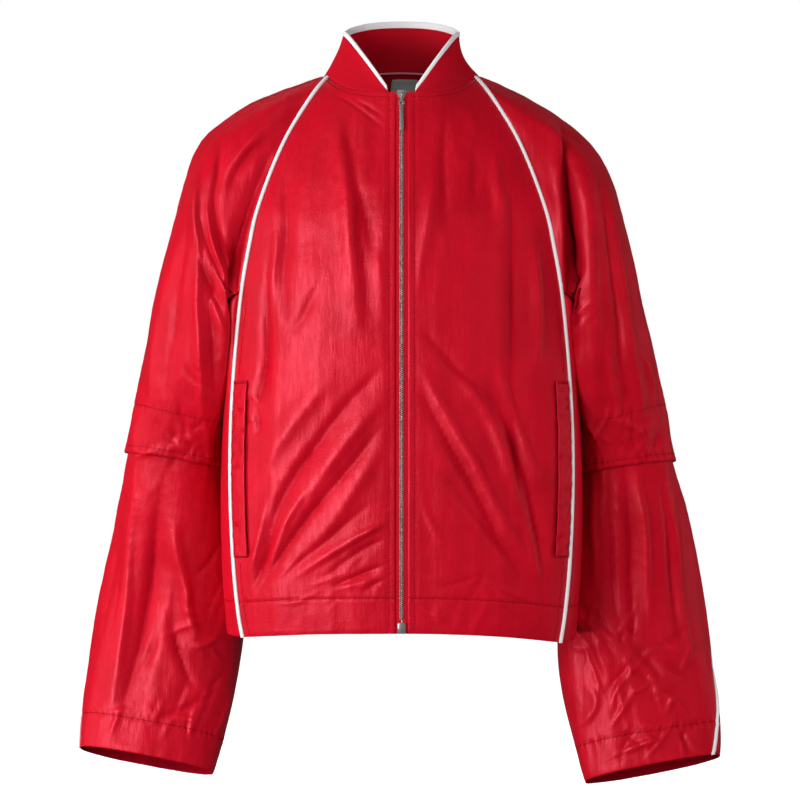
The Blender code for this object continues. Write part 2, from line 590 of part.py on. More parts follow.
class Cloth:
    """All sewn panels as grids that share the points of their seams."""

    def __init__(self):
        self.panels = {}

    def add(self, name, grid, axis, seams, wall=WALL, lift=0.0, colour="red nylon"):
        """A panel, the upright line inside it (x, y), and which of its edges are sewn."""
        normals = grid_normals(grid)
        outward = grid[..., :2] - np.array(axis)
        flip = np.sign((normals[..., :2] * outward).sum())
        self.panels[name] = dict(grid=grid, flip=flip, seams=seams, wall=wall, lift=lift, colour=colour)

    def weld(self):
        points = np.concatenate([p["grid"].reshape(-1, 3) for p in self.panels.values()])
        tree = KDTree(len(points))
        for k, point in enumerate(points):
            tree.insert(point, k)
        tree.balance()
        same = [min(near[1] for near in tree.find_range(point, 0.02)) for point in points]
        _, first, index = np.unique(same, return_index=True, return_inverse=True)
        return points[first], index.reshape(-1)

    def shared_normals(self, points, index):
        total = np.zeros_like(points)
        start = 0
        for panel in self.panels.values():
            rows, columns = panel["grid"].shape[:2]
            ids = index[start : start + rows * columns].reshape(rows, columns)
            start += rows * columns
            corners = [ids[:-1, :-1], ids[:-1, 1:], ids[1:, 1:], ids[1:, :-1]]
            a, b, c, d = (points[k] for k in corners)
            face = unit(np.cross(b - d, c - a)) * panel["flip"]
            for k in corners:
                np.add.at(total, k.reshape(-1), face.reshape(-1, 3))
        return total

    def shape(self):
        """Raises the folds, then works out each panel's two faces."""
        points, index = self.weld()
        normals = unit(self.shared_normals(points, index))
        raised = fold_height(points, FOLDS) * np.clip(-1.6 * normals[:, 1], 0, 1)
        raised *= flat_beside(points)
        raised += fold_height(points, BACK_FOLDS) * np.clip(1.6 * normals[:, 1], 0, 1)
        collar_ids = self.ids_of(("collar", "collar_binding"), index)
        raised[collar_ids] = 0
        points = points + raised[:, None] * normals
        total = self.shared_normals(points, index)
        for name in SIDES:
            ids = self.ids_of((f"side_{name}",), index).reshape(self.panels[f"side_{name}"]["grid"].shape[:2])
            total[ids[0, 1:-1]] += np.array([0, 0, -2.5])
        normals = unit(total)
        start = 0
        for panel in self.panels.values():
            rows, columns = panel["grid"].shape[:2]
            ids = index[start : start + rows * columns].reshape(rows, columns)
            start += rows * columns
            panel["outer"], panel["inner"] = self.faces(panel, points[ids], normals[ids])
            panel["points"], panel["normals"] = points[ids], normals[ids]

    def ids_of(self, names, index):
        start, found = 0, []
        for name, panel in self.panels.items():
            count = panel["grid"].shape[0] * panel["grid"].shape[1]
            if name in names:
                found.append(index[start : start + count])
            start += count
        return np.concatenate(found)

    def faces(self, panel, grid, shared):
        """Outer and inner points, with half the seam gap taken off each sewn edge."""
        own = grid_normals(grid) * panel["flip"]
        shift = np.zeros_like(grid)
        edges = {
            "top": (np.s_[0, :], np.s_[1, :]),
            "bottom": (np.s_[-1, :], np.s_[-2, :]),
            "first": (np.s_[:, 0], np.s_[:, 1]),
            "last": (np.s_[:, -1], np.s_[:, -2]),
        }
        for name in panel["seams"]:
            edge, inside = edges[name]
            along = unit(np.gradient(grid[edge], axis=0))
            inward = grid[inside] - grid[edge]
            inward = unit(inward - (inward * along).sum(-1, keepdims=True) * along)
            normal = shared[edge] - (shared[edge] * along).sum(-1, keepdims=True) * along
            face = own[edge] - (own[edge] * along).sum(-1, keepdims=True) * along
            normal, face = unit(normal), unit(face)
            across = (face * normal).sum(-1, keepdims=True) * inward
            across = across - (inward * normal).sum(-1, keepdims=True) * face
            shift[edge] += unit(across) * SEAM_GAP / 2
        outer = grid + shift + shared * panel["lift"]
        return outer, outer - shared * panel["wall"]


def new_object(name, mesh, colour, collection):
    made = bpy.data.objects.new(name, mesh)
    collection.objects.link(made)
    made.data.materials.append(material(colour, name))
    return made


def material(colour, name):
    red, green, blue, roughness, metallic = COLOURS[colour]
    made = bpy.data.materials.new(f"{colour} {name}")
    made.use_nodes = True
    shader = made.node_tree.nodes["Principled BSDF"]
    shader.inputs["Base Color"].default_value = (red, green, blue, 1)
    shader.inputs["Roughness"].default_value = roughness
    shader.inputs["Metallic"].default_value = metallic
    made.diffuse_color = (red, green, blue, 1)
    return made


def wall_mesh(name, outer, inner):
    """A closed wall between two grids of the same size."""
    rows, columns = outer.shape[:2]
    count = rows * columns
    points = np.concatenate([outer.reshape(-1, 3), inner.reshape(-1, 3)]) * MM
    at = np.arange(count).reshape(rows, columns)
    faces = []
    for i in range(rows - 1):
        for j in range(columns - 1):
            quad = [at[i, j], at[i, j + 1], at[i + 1, j + 1], at[i + 1, j]]
            faces.append(quad)
            faces.append([k + count for k in reversed(quad)])
    rim = list(at[0, :]) + list(at[1:, -1]) + list(at[-1, -2::-1]) + list(at[-2:0:-1, 0])
    for a, b in zip(rim, rim[1:] + rim[:1]):
        # the split runs the same way on both sides of a seam
        if (points[b] - points[a]) @ SPLIT_WAY > 0:
            faces += [[b, a, b + count], [a, a + count, b + count]]
        else:
            faces += [[b, a, a + count], [b, a + count, b + count]]
    mesh = bpy.data.meshes.new(name)
    mesh.from_pydata([tuple(p) for p in points], [], [[int(k) for k in f] for f in faces])
    return outward_mesh(mesh)


def loft_mesh(name, sections):
    """A closed bar through sections of equal count, with flat ends."""
    rows, around = sections.shape[:2]
    points = sections.reshape(-1, 3) * MM
    faces = [list(range(around)), [(rows - 1) * around + k for k in reversed(range(around))]]
    for i in range(rows - 1):
        for j in range(around):
            k = (j + 1) % around
            faces.append([i * around + j, (i + 1) * around + j, (i + 1) * around + k, i * around + k])
    mesh = bpy.data.meshes.new(name)
    mesh.from_pydata([tuple(p) for p in points], [], faces)
    return outward_mesh(mesh)


def outward_mesh(mesh):
    """Turns all faces of a closed mesh outwards."""
    shape = bmesh.new()
    shape.from_mesh(mesh)
    bmesh.ops.recalc_face_normals(shape, faces=shape.faces)
    if shape.calc_volume(signed=True) < 0:
        bmesh.ops.reverse_faces(shape, faces=shape.faces)
    shape.to_mesh(mesh)
    shape.free()
    mesh.shade_smooth()
    mesh.set_sharp_from_angle(angle=math.radians(40))
    return mesh


def patch(values, rows, columns):
    """Values of a grid at fractional rows and columns."""
    rows, columns = np.asarray(rows, float), np.asarray(columns, float)
    i = np.clip(rows.astype(int), 0, values.shape[0] - 2)
    j = np.clip(columns.astype(int), 0, values.shape[1] - 2)
    fi, fj = (rows - i)[:, None, None], (columns - j)[None, :, None]
    a, b = values[np.ix_(i, j)], values[np.ix_(i, j + 1)]
    c, d = values[np.ix_(i + 1, j)], values[np.ix_(i + 1, j + 1)]
    return (a * (1 - fj) + b * fj) * (1 - fi) + (c * (1 - fj) + d * fj) * fi


def steps_between(first, last):
    """From first to last by way of each whole number between, leaving out slivers."""
    whole = [k for k in range(math.ceil(first), math.floor(last) + 1)]
    inner = [float(k) for k in whole if first + 0.15 < k < last - 0.15]
    return [first] + inner + [last]


def row_at_height(column, height):
    """Fractional row of a column of points at a height."""
    return float(np.interp(-height, -column[:, 2], np.arange(len(column))))


def piping_sections(points, normals, ahead, behind):
    """Half-round sections along a seam, from the cloth's directions on each side of it."""
    near, far = points + PIPING_HALF * unit(ahead), points + PIPING_HALF * unit(behind)
    up = unit(normals)
    return np.stack(
        [
            near + up * LIFT,
            near * 0.9 + far * 0.1 + up * (LIFT + PIPING_HIGH * 0.65),
            (near + far) / 2 + up * (LIFT + PIPING_HIGH),
            near * 0.1 + far * 0.9 + up * (LIFT + PIPING_HIGH * 0.65),
            far + up * LIFT,
            points + up * LIFT,
        ],
        axis=1,
    )


def sew_jacket(collection):
    """The cloth panels and the trims that lie on them."""
    cloth = Cloth()
    for name, side in SIDES.items():
        cloth.add(f"front_{name}", front_grid(side), (0, 0), ("top", "last"))
        cloth.add(f"side_{name}", side_grid(side), (0, 0), ("top", "first", "last"))
        for half, forward in (("front", True), ("back", False)):
            grid = upper_grid(name, forward)
            cloth.add(f"sleeve_upper_{half}_{name}", grid, (side * 235, 10), ("top", "first", "last"))
            grid = lower_grid(name, forward)
            cloth.add(f"sleeve_lower_{half}_{name}", grid, (side * 275, 40), ("first", "last"))
    cloth.add("back", back_grid(), (0, 0), ("top", "first", "last"))
    collar, binding = collar_grids()
    cloth.add("collar", collar, (0, -8), ("top", "bottom"), RIB, 0.0, "red rib")
    cloth.add("collar_binding", binding, (0, -8), ("top",), BINDING_WALL, 0.5, "white piping")
    cloth.shape()
    tuck_lower_sleeves(cloth)
    for name, panel in cloth.panels.items():
        mesh = wall_mesh(name, panel["outer"], panel["inner"])
        new_object(name, mesh, panel["colour"], collection)
    for name in SIDES:
        add_front_piping(cloth, name, collection)
        add_sleeve_piping(cloth, name, collection)
        add_welt(cloth, name, collection)
        add_tape(cloth, name, collection)
    add_chain(cloth, collection)
    add_label(cloth, collection)


def tuck_lower_sleeves(cloth):
    """Takes the top of each lower sleeve inside the flap."""
    for name, panel in cloth.panels.items():
        if not name.startswith("sleeve_lower"):
            continue
        rows = panel["grid"].shape[0]
        length = FLAP_STITCH + (CUFF - FLAP_STITCH) * np.arange(rows) / (rows - 1)
        depth = FLAP_CLEAR * np.clip((9.9 - length) / 0.9, 0, 1)
        for face in ("outer", "inner", "points"):
            panel[face] = panel[face] - panel["normals"] * depth[:, None, None]


def add_front_piping(cloth, name, collection):
    front, side = cloth.panels[f"front_{name}"], cloth.panels[f"side_{name}"]
    sleeve = cloth.panels[f"sleeve_upper_front_{name}"]
    above = len(RAGLAN_FRONT)
    points, normals = front["points"][:, -1], front["normals"][:, -1]
    ahead = front["points"][:, -2] - points
    first = upper_angles(0, name, True).index(NECK_FRONT)
    upper = sleeve["points"][1, first : first + above] - sleeve["points"][0, first : first + above]
    lower = side["points"][:, 1] - side["points"][:, 0]
    behind = np.concatenate([upper, lower[1:]])
    sections = piping_sections(points, normals, ahead, behind)
    sections[0] += unit(points[1] - points[0]) * 2.0
    new_object(f"piping_front_{name}", loft_mesh("piping", sections), "white piping", collection)


def add_sleeve_piping(cloth, name, collection):
    ahead = cloth.panels[f"sleeve_lower_front_{name}"]["points"]
    behind = cloth.panels[f"sleeve_lower_back_{name}"]["points"]
    normals = cloth.panels[f"sleeve_lower_front_{name}"]["normals"]
    rows = np.array(steps_between(2.2, len(ahead) - 1.0))
    points, next_points = patch(ahead, rows, [0, 1]).swapaxes(0, 1)
    other = patch(behind, rows, [1])[:, 0]
    up = unit(patch(normals, rows, [0])[:, 0])
    sections = piping_sections(points, up, next_points - points, other - points)
    new_object(f"piping_sleeve_{name}", loft_mesh("piping", sections), "white piping", collection)


def add_welt(cloth, name, collection):
    panel = cloth.panels[f"front_{name}"]
    seam = panel["points"][:, -1]
    rows = steps_between(row_at_height(seam, WELT_TOP), row_at_height(seam, WELT_BOTTOM))
    last = panel["points"].shape[1] - 1
    middle = int(sum(rows) / len(rows))
    spacing = np.linalg.norm(np.diff(panel["points"][middle], axis=0), axis=1)[::-1]
    reach = np.concatenate([[0], np.cumsum(spacing)])
    near, far = (last - float(np.interp(d, reach, np.arange(len(reach)))) for d in (WELT_FROM, WELT_TO))
    columns = steps_between(far, near)
    points, up = patch(panel["points"], rows, columns), unit(patch(panel["normals"], rows, columns))
    low, high = points + up * LIFT, points + up * (LIFT + WELT_THICK)
    new_object(f"pocket_welt_{name}", wall_mesh("welt", high, low), "red nylon", collection)


def zip_line(cloth, name, x, rows):
    """Points and normals of a front beside the zip, also past its edge, at distances from the centre."""
    panel = cloth.panels[f"front_{name}"]
    edge, beside = panel["points"][:, 0], panel["points"][:, 1]
    share = (abs(x) - ZIP_EDGE) / (np.abs(beside[:, 0]) - ZIP_EDGE)
    points = edge + (beside - edge) * np.maximum(share, 0)[:, None]
    points[:, 0] = x
    points, normals = points[:, None], panel["normals"][:, :1]
    normals = normals * np.array([0, 1, 1])
    return patch(np.repeat(points, 2, 1), rows, [0])[:, 0], unit(patch(np.repeat(normals, 2, 1), rows, [0]))[:, 0]


def add_tape(cloth, name, collection):
    side = SIDES[name]
    rows = [0.12] + [float(k) for k in range(1, cloth.panels[f"front_{name}"]["points"].shape[0])]
    places = [zip_line(cloth, name, side * x, rows) for x in (TAPE_FROM, ZIP_EDGE, TAPE_TO)]
    down = WALL + LIFT
    high = np.stack([p - n * down for p, n in places], axis=1)
    low = np.stack([p - n * (down + TAPE_THICK) for p, n in places], axis=1)
    new_object(f"zip_tape_{name}", wall_mesh("tape", high, low), "red tape", collection)


def add_chain(cloth, collection):
    edge = cloth.panels["front_left"]["points"][:, 0]
    rows = steps_between(row_at_height(edge, CHAIN_TOP), row_at_height(edge, CHAIN_BOTTOM))
    low_at = -(WALL + LIFT) + SEAM_GAP
    places = [zip_line(cloth, "left", x, rows) for x in (-CHAIN_HALF, CHAIN_HALF)]
    low = np.stack([p + n * low_at for p, n in places], axis=1)
    high = np.stack([p + n * (low_at + CHAIN_THICK) for p, n in places], axis=1)
    new_object("zip_chain", wall_mesh("chain", high, low), "nickel", collection)


def add_label(cloth, collection):
    panel = cloth.panels["back"]
    middle = panel["points"][:, panel["points"].shape[1] // 2]
    rows = steps_between(row_at_height(middle, LABEL["top"]), row_at_height(middle, LABEL["bottom"]))
    across = panel["points"][1, :, 0]
    first, last = (float(np.interp(LABEL[k], across, np.arange(len(across)))) for k in ("right", "left"))
    columns = steps_between(first, last)
    points, up = patch(panel["points"], rows, columns), unit(patch(panel["normals"], rows, columns))
    high = points - up * (WALL + LIFT)
    low = high - up * LABEL["thick"]
    new_object("neck_label", wall_mesh("label", high, low), "grey label", collection)


def zip_frame(height):
    """Matrix of the zip's own frame at a height: across, up the zip, out from the cloth."""
    heights = [row[0] for row in FRONT_ROWS]
    rows = np.interp([-(height - 4), -height, -(height + 4)], [-h for h in heights], range(len(heights)))
    below, here, above = front_point(rows, np.zeros(3), 1)
    up = Vector(above - below) * Vector((0, 1, 1))
    up.normalize()
    across = Vector((1, 0, 0))
    out = across.cross(up)
    place = Vector((0, here[1], here[2])) * MM
    return Matrix.Translation(place) @ Matrix((across, up, out)).transposed().to_4x4()


def flat_piece(name, outline, low, high):
    """A plate with this outline (across, up) between two distances out from the cloth."""
    curve = bpy.data.curves.new(name, "CURVE")
    curve.dimensions = "2D"
    curve.fill_mode = "BOTH"
    curve.extrude = (high - low) / 2 * MM
    line = curve.splines.new("POLY")
    line.points.add(len(outline) - 1)
    for point, (across, up) in zip(line.points, outline):
        point.co = (across * MM, up * MM, 0, 1)
    line.use_cyclic_u = True
    made = bpy.data.objects.new(name, curve)
    bpy.context.scene.collection.objects.link(made)
    bpy.context.view_layer.update()
    mesh = bpy.data.meshes.new_from_object(made.evaluated_get(bpy.context.evaluated_depsgraph_get()))
    bpy.data.objects.remove(made)
    bpy.data.curves.remove(curve)
    shape = bmesh.new()
    shape.from_mesh(mesh)
    bmesh.ops.remove_doubles(shape, verts=shape.verts, dist=1e-6)
    bmesh.ops.translate(shape, verts=shape.verts, vec=(0, 0, (high + low) / 2 * MM))
    shape.to_mesh(mesh)
    shape.free()
    return outward_mesh(mesh)


def box_mesh(name, low, high):
    """A box between two corners, in millimetres."""
    shape = bmesh.new()
    low, high = Vector(low) * MM, Vector(high) * MM
    size = Matrix.Diagonal((high - low).to_4d())
    bmesh.ops.create_cube(shape, size=1, matrix=Matrix.Translation((low + high) / 2) @ size)
    mesh = bpy.data.meshes.new(name)
    shape.to_mesh(mesh)
    shape.free()
    return outward_mesh(mesh)


def rod_mesh(name, radius, half, up, out, sides):
    """A rod across the zip."""
    shape = bmesh.new()
    turn = Matrix.Rotation(math.radians(90), 4, "Y")
    place = Matrix.Translation(Vector((0, up, out)) * MM) @ turn
    bmesh.ops.create_cone(
        shape,
        cap_ends=True,
        segments=sides,
        radius1=radius * MM,
        radius2=radius * MM,
        depth=2 * half * MM,
        matrix=place,
    )
    mesh = bpy.data.meshes.new(name)
    shape.to_mesh(mesh)
    shape.free()
    return outward_mesh(mesh)


def combine(target, mesh, operation, cutters):
    """Joins a mesh to an object, or cuts it from one, with a Boolean whose other piece is kept hidden."""
    other = bpy.data.objects.new(f"{target.name}_{operation.lower()}", mesh)
    cutters.objects.link(other)
    other.matrix_world = target.matrix_world
    other.hide_render = True
    other.display_type = "WIRE"
    step = target.modifiers.new(operation.title(), "BOOLEAN")
    step.operation = operation
    step.object = other


def arc(middle, radius, first, last, steps):
    """Points of an arc, angles in degrees from across."""
    return [
        (
            middle[0] + radius * math.cos(math.radians(first + (last - first) * k / steps)),
            middle[1] + radius * math.sin(math.radians(first + (last - first) * k / steps)),
        )
        for k in range(steps + 1)
    ]


def add_slider(collection, cutters):
    """A shield-shaped slider with a crown, two lugs and the pin that the pull hangs on."""
    outline = arc((0, SLIDER_TIP), SLIDER_TIP, 200, 340, 6)
    outline += [(SLIDER_TOP_HALF, SLIDER_HIGH - 2.6), (SLIDER_TOP_HALF - 1.2, SLIDER_HIGH)]
    outline += [(1.2 - SLIDER_TOP_HALF, SLIDER_HIGH), (-SLIDER_TOP_HALF, SLIDER_HIGH - 2.6)]
    mesh = flat_piece("zip_slider", outline, PLATE_BACK, PLATE_FRONT)
    slider = new_object("zip_slider", mesh, "nickel", collection)
    slider.matrix_world = zip_frame(SLIDER_AT)
    for sign in (-1, 1):
        across = sorted((sign * LUG_IN, sign * LUG_OUT))
        low = (across[0], PIN_UP - 1.5, PLATE_FRONT - 0.6)
        high = (across[1], PIN_UP + 1.5, PIN_OUT + 1.2)
        combine(slider, box_mesh("lug", low, high), "UNION", cutters)
    crown = [(-1.9, 4.6), (1.9, 4.6), (2.6, 8.6), (-2.6, 8.6)]
    combine(slider, flat_piece("crown", crown, PLATE_FRONT - 0.6, 2.3), "UNION", cutters)
    pin = rod_mesh("pin", PIN_RADIUS, LUG_IN + 0.5, PIN_UP, PIN_OUT, 24)
    combine(slider, pin, "UNION", cutters)


def add_pull(collection, cutters):
    """A plain tapered pull with a knuckle, an eye and a round end."""
    frame = zip_frame(SLIDER_AT)
    pin = Vector((0, PIN_UP, PIN_OUT)) * MM
    low, high = PIN_OUT - PULL_THICK / 2, PIN_OUT + PULL_THICK / 2
    neck = 0.8
    eye = (0, EYE_DOWN)
    join = 68
    right = [(neck, PIN_UP - 1.3)]
    right += arc(eye, EYE_RADIUS, join, -60, 8)
    right += [(BLADE_TOP_HALF, EYE_DOWN - EYE_RADIUS - 1.0), (BLADE_END_HALF, BLADE_END)]
    end = arc((0, BLADE_END), BLADE_END_HALF, 0, -180, 10)[1:-1]
    left = [(-x, y) for x, y in reversed(right)]
    mesh = flat_piece("zip_pull", right + end + left, low, high)
    pull = new_object("zip_pull", mesh, "nickel", collection)
    pull.matrix_world = frame
    knuckle = rod_mesh("knuckle", KNUCKLE_RADIUS, KNUCKLE_HALF, PIN_UP, PIN_OUT, 24)
    combine(pull, knuckle, "UNION", cutters)
    bore = rod_mesh("bore", KNUCKLE_BORE, KNUCKLE_HALF + 2, PIN_UP, PIN_OUT, 24)
    combine(pull, bore, "DIFFERENCE", cutters)
    hole = flat_piece("eye", arc(eye, EYE_HOLE, 0, 340, 17), low - 2, high + 2)
    combine(pull, hole, "DIFFERENCE", cutters)
    settle(pull, frame, pin)


def settle(made, frame, pivot):
    """Moves an object's origin onto its pivot, once its modifiers are in its mesh."""
    bpy.context.view_layer.update()
    graph = bpy.context.evaluated_depsgraph_get()
    mesh = bpy.data.meshes.new_from_object(made.evaluated_get(graph))
    made.modifiers.clear()
    mesh.transform(Matrix.Translation(-pivot))
    made.data = mesh
    made.matrix_world = frame @ Matrix.Translation(pivot)


def add_box(collection):
    """The retaining box at the foot of the zip."""
    low = (-BOX_WIDE / 2, 0, PLATE_BACK)
    high = (BOX_WIDE / 2, BOX_HIGH, BOX_FRONT)
    box = new_object("zip_box", box_mesh("zip_box", low, high), "nickel", collection)
    box.matrix_world = zip_frame(FRONT_ROWS[LAST_ROW][0] + 0.6)
    edge = box.modifiers.new("Edge", "BEVEL")
    edge.width = 0.8 * MM
    edge.segments = 2


def main():
    for old in list(bpy.data.objects):
        bpy.data.objects.remove(old)
    jacket = bpy.data.collections.new("track_jacket")
    cutters = bpy.data.collections.new("cutters")
    for made in (jacket, cutters):
        bpy.context.scene.collection.children.link(made)
    sew_jacket(jacket)
    add_slider(jacket, cutters)
    add_pull(jacket, cutters)
    add_box(jacket)


main()
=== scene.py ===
import math

import bpy
import numpy as np
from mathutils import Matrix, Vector, noise
from mathutils.kdtree import KDTree


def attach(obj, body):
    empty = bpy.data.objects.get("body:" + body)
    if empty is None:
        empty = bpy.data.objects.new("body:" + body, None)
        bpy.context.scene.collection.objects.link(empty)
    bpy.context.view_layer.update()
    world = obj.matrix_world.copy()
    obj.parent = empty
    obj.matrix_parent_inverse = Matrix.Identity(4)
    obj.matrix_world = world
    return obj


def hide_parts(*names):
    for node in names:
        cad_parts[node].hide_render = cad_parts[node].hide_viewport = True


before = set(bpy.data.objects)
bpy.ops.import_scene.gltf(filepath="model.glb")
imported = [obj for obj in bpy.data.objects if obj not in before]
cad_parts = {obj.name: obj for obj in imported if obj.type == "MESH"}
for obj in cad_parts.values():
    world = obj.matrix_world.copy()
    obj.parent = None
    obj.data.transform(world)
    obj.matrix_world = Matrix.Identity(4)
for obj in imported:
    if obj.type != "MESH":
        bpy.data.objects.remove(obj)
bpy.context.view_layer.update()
mm = 0.001
sides = {"left": 1, "right": -1}  # the wearer's sides
print("frame loaded")


# sRGB hex to the linear colour that Blender's sockets hold
def linear(hexColour):
    parts = [int(hexColour[k : k + 2], 16) / 255 for k in (1, 3, 5)]
    return tuple(c / 12.92 if c <= 0.04045 else ((c + 0.055) / 1.055) ** 2.4 for c in parts) + (1.0,)


# sets a node's own values, and feeds it: each link is a node and the name of its output
def feed(tree, node, values, links):
    for key, value in values.items():
        node.inputs[key].default_value = value
    for key, (source, output) in links.items():
        tree.links.new(source.outputs[output], node.inputs[key])


# one shader node with its values, links and settings, and the places and colours of its ramp
def addNode(tree, kind, values=None, links=None, ramp=(), **settings):
    node = tree.nodes.new("ShaderNode" + kind)
    for key, value in settings.items():
        setattr(node, key, value)
    feed(tree, node, values or {}, links or {})
    for k, (position, colour) in enumerate(ramp):
        node.color_ramp.elements[k].position = position
        node.color_ramp.elements[k].color = linear(colour)
    return node


# a new material, its tree, its shader and the node that gives places on the piece
def startMaterial(name):
    made = bpy.data.materials.new(name)
    made.use_nodes = True
    tree = made.node_tree
    return made, tree, tree.nodes["Principled BSDF"], addNode(tree, "TexCoord")


# camera, floor and soft lights
studio = {
    "cameraAt": (-0.0017, -2.556, -0.3703),
    "lens": 100.0,
    "floorAt": -1.12,  # metres, well below the cuffs
    "floorSize": 16.0,
    # how brightly the floor glows by itself, by metres from its middle
    "floorGlow": {"From Min": 0.6, "From Max": 1.6, "To Min": 0.7, "To Max": 1.0},
    "skySeen": 1.0,  # brightness of the white surround behind the jacket
    "skyLight": 0.06,  # and of what it gives the cloth
    # name: place, aim, width, height, watts
    "softboxes": {
        "key": ((-1.45, -2.15, -0.30), (0.0, 0.0, -0.38), 1.15, 1.5, 45.0),
        "fill": ((1.35, -2.15, -0.10), (0.0, 0.0, -0.30), 1.2, 1.5, 22.0),
        "top": ((-0.3, -0.9, 1.6), (0.0, 0.0, -0.2), 1.0, 0.8, 1.2),
        "sideLeft": ((-2.2, -0.5, -0.25), (-0.1, 0.0, -0.38), 0.8, 1.8, 40.0),
        "sideRight": ((2.2, 0.2, -0.25), (0.1, 0.0, -0.38), 0.8, 1.8, 12.0),
        "back": ((-0.3, 1.6, 1.75), (0.0, 0.05, -0.38), 1.6, 1.2, 34.0),
    },
    "neckSpot": ((0.0, -2.4, 0.16), (0.004, 0.06, -0.004), 1.7, 90.0),  # place, aim, degrees, watts
    "unreflected": ("fill", "sideLeft", "sideRight", "back"),  # they give the cloth no gloss of their own
}


def addLight(name, kind, place, aim, **settings):
    turn = (Vector(aim) - Vector(place)).to_track_quat("-Z", "Y").to_euler()
    bpy.ops.object.light_add(type=kind, location=place, rotation=turn)
    light = bpy.context.object
    light.name = name
    light.visible_glossy = name not in studio["unreflected"]
    for key, value in settings.items():
        setattr(light.data, key, value)


def setUpStudio():
    scene = bpy.context.scene
    scene.view_settings.view_transform = "Standard"
    bpy.ops.object.camera_add(location=studio["cameraAt"], rotation=(math.pi / 2, 0, 0))
    scene.camera = bpy.context.object
    scene.camera.data.lens = studio["lens"]
    scene.camera.data.sensor_width = 36.0
    scene.camera.data.clip_end = 60.0
    scene.world = bpy.data.worlds.new("pale studio")
    scene.world.use_nodes = True
    tree = scene.world.node_tree
    ray = addNode(tree, "LightPath")
    sky = {"To Min": studio["skyLight"], "To Max": studio["skySeen"]}
    level = addNode(tree, "MapRange", sky, {"Value": (ray, "Is Camera Ray")})
    feed(tree, tree.nodes["Background"], {"Color": (1, 1, 1, 1)}, {"Strength": (level, "Result")})
    for name, (place, aim, wide, high, watts) in studio["softboxes"].items():
        addLight(name, "AREA", place, aim, shape="RECTANGLE", size=wide, size_y=high, energy=watts)
    place, aim, wide, watts = studio["neckSpot"]
    cone = {"spot_size": math.radians(wide), "spot_blend": 0.6, "shadow_soft_size": 0.03}
    addLight("neckSpot", "SPOT", place, aim, energy=watts, **cone)
    bpy.ops.mesh.primitive_plane_add(size=studio["floorSize"], location=(0, 0, studio["floorAt"]))
    floor = bpy.context.object
    floor.name = "floor"
    floor.visible_diffuse = False
    floor.visible_glossy = False
    paint, tree, shader, place = startMaterial("matt white floor paint")
    away = addNode(tree, "VectorMath", {}, {0: (place, "Object")}, operation="LENGTH")
    glow = addNode(tree, "MapRange", studio["floorGlow"], {"Value": (away, "Value")})
    white = {"Base Color": linear("#F2F2F2"), "Roughness": 0.9, "Emission Color": (1, 1, 1, 1)}
    feed(tree, shader, white, {"Emission Strength": (glow, "Result")})
    floor.data.materials.append(paint)


setUpStudio()
print("studio ready")

# materials, each named for what the real one is; the reverse also carries painted shade, and the neck tape
# a painted highlight

# Glazed nylon taffeta, calendered so that its face has a soft gloss, and crinkled by wear: the
# gloss breaks into long fine streaks down the cloth
nylonLook = {
    "face": ("#B9081C", "#CE0A24"),
    # painted shade: the reverse, seen inside the jacket, is deeper red for the shade in there, and less
    # glossy than the face
    "back": ("#8C0516", "#A6081E"),
    "specular": {"face": 0.8, "back": 0.1},
    "gloss": "#FF7D91",  # the dyed filaments give back a red gloss
    "roughness": (0.33, 0.47),
    "foldShade": (0.81, 1.10),  # painted shade: brightness at the bottom of a deep fold, and painted highlight on its ridge
    "foldGloss": (0.1, 1.5),  # and the gloss, painted the same way
    "streakPitch": 2.0,  # mm, the fine vertical crinkles
    "creasePitch": 26.0,  # mm, the small sharp creases
    "grainPitch": 1.3,  # mm; the threads are 0.2 mm apart, too fine to show, so the grain is coarser
    "ior": 1.53,  # that of nylon
}


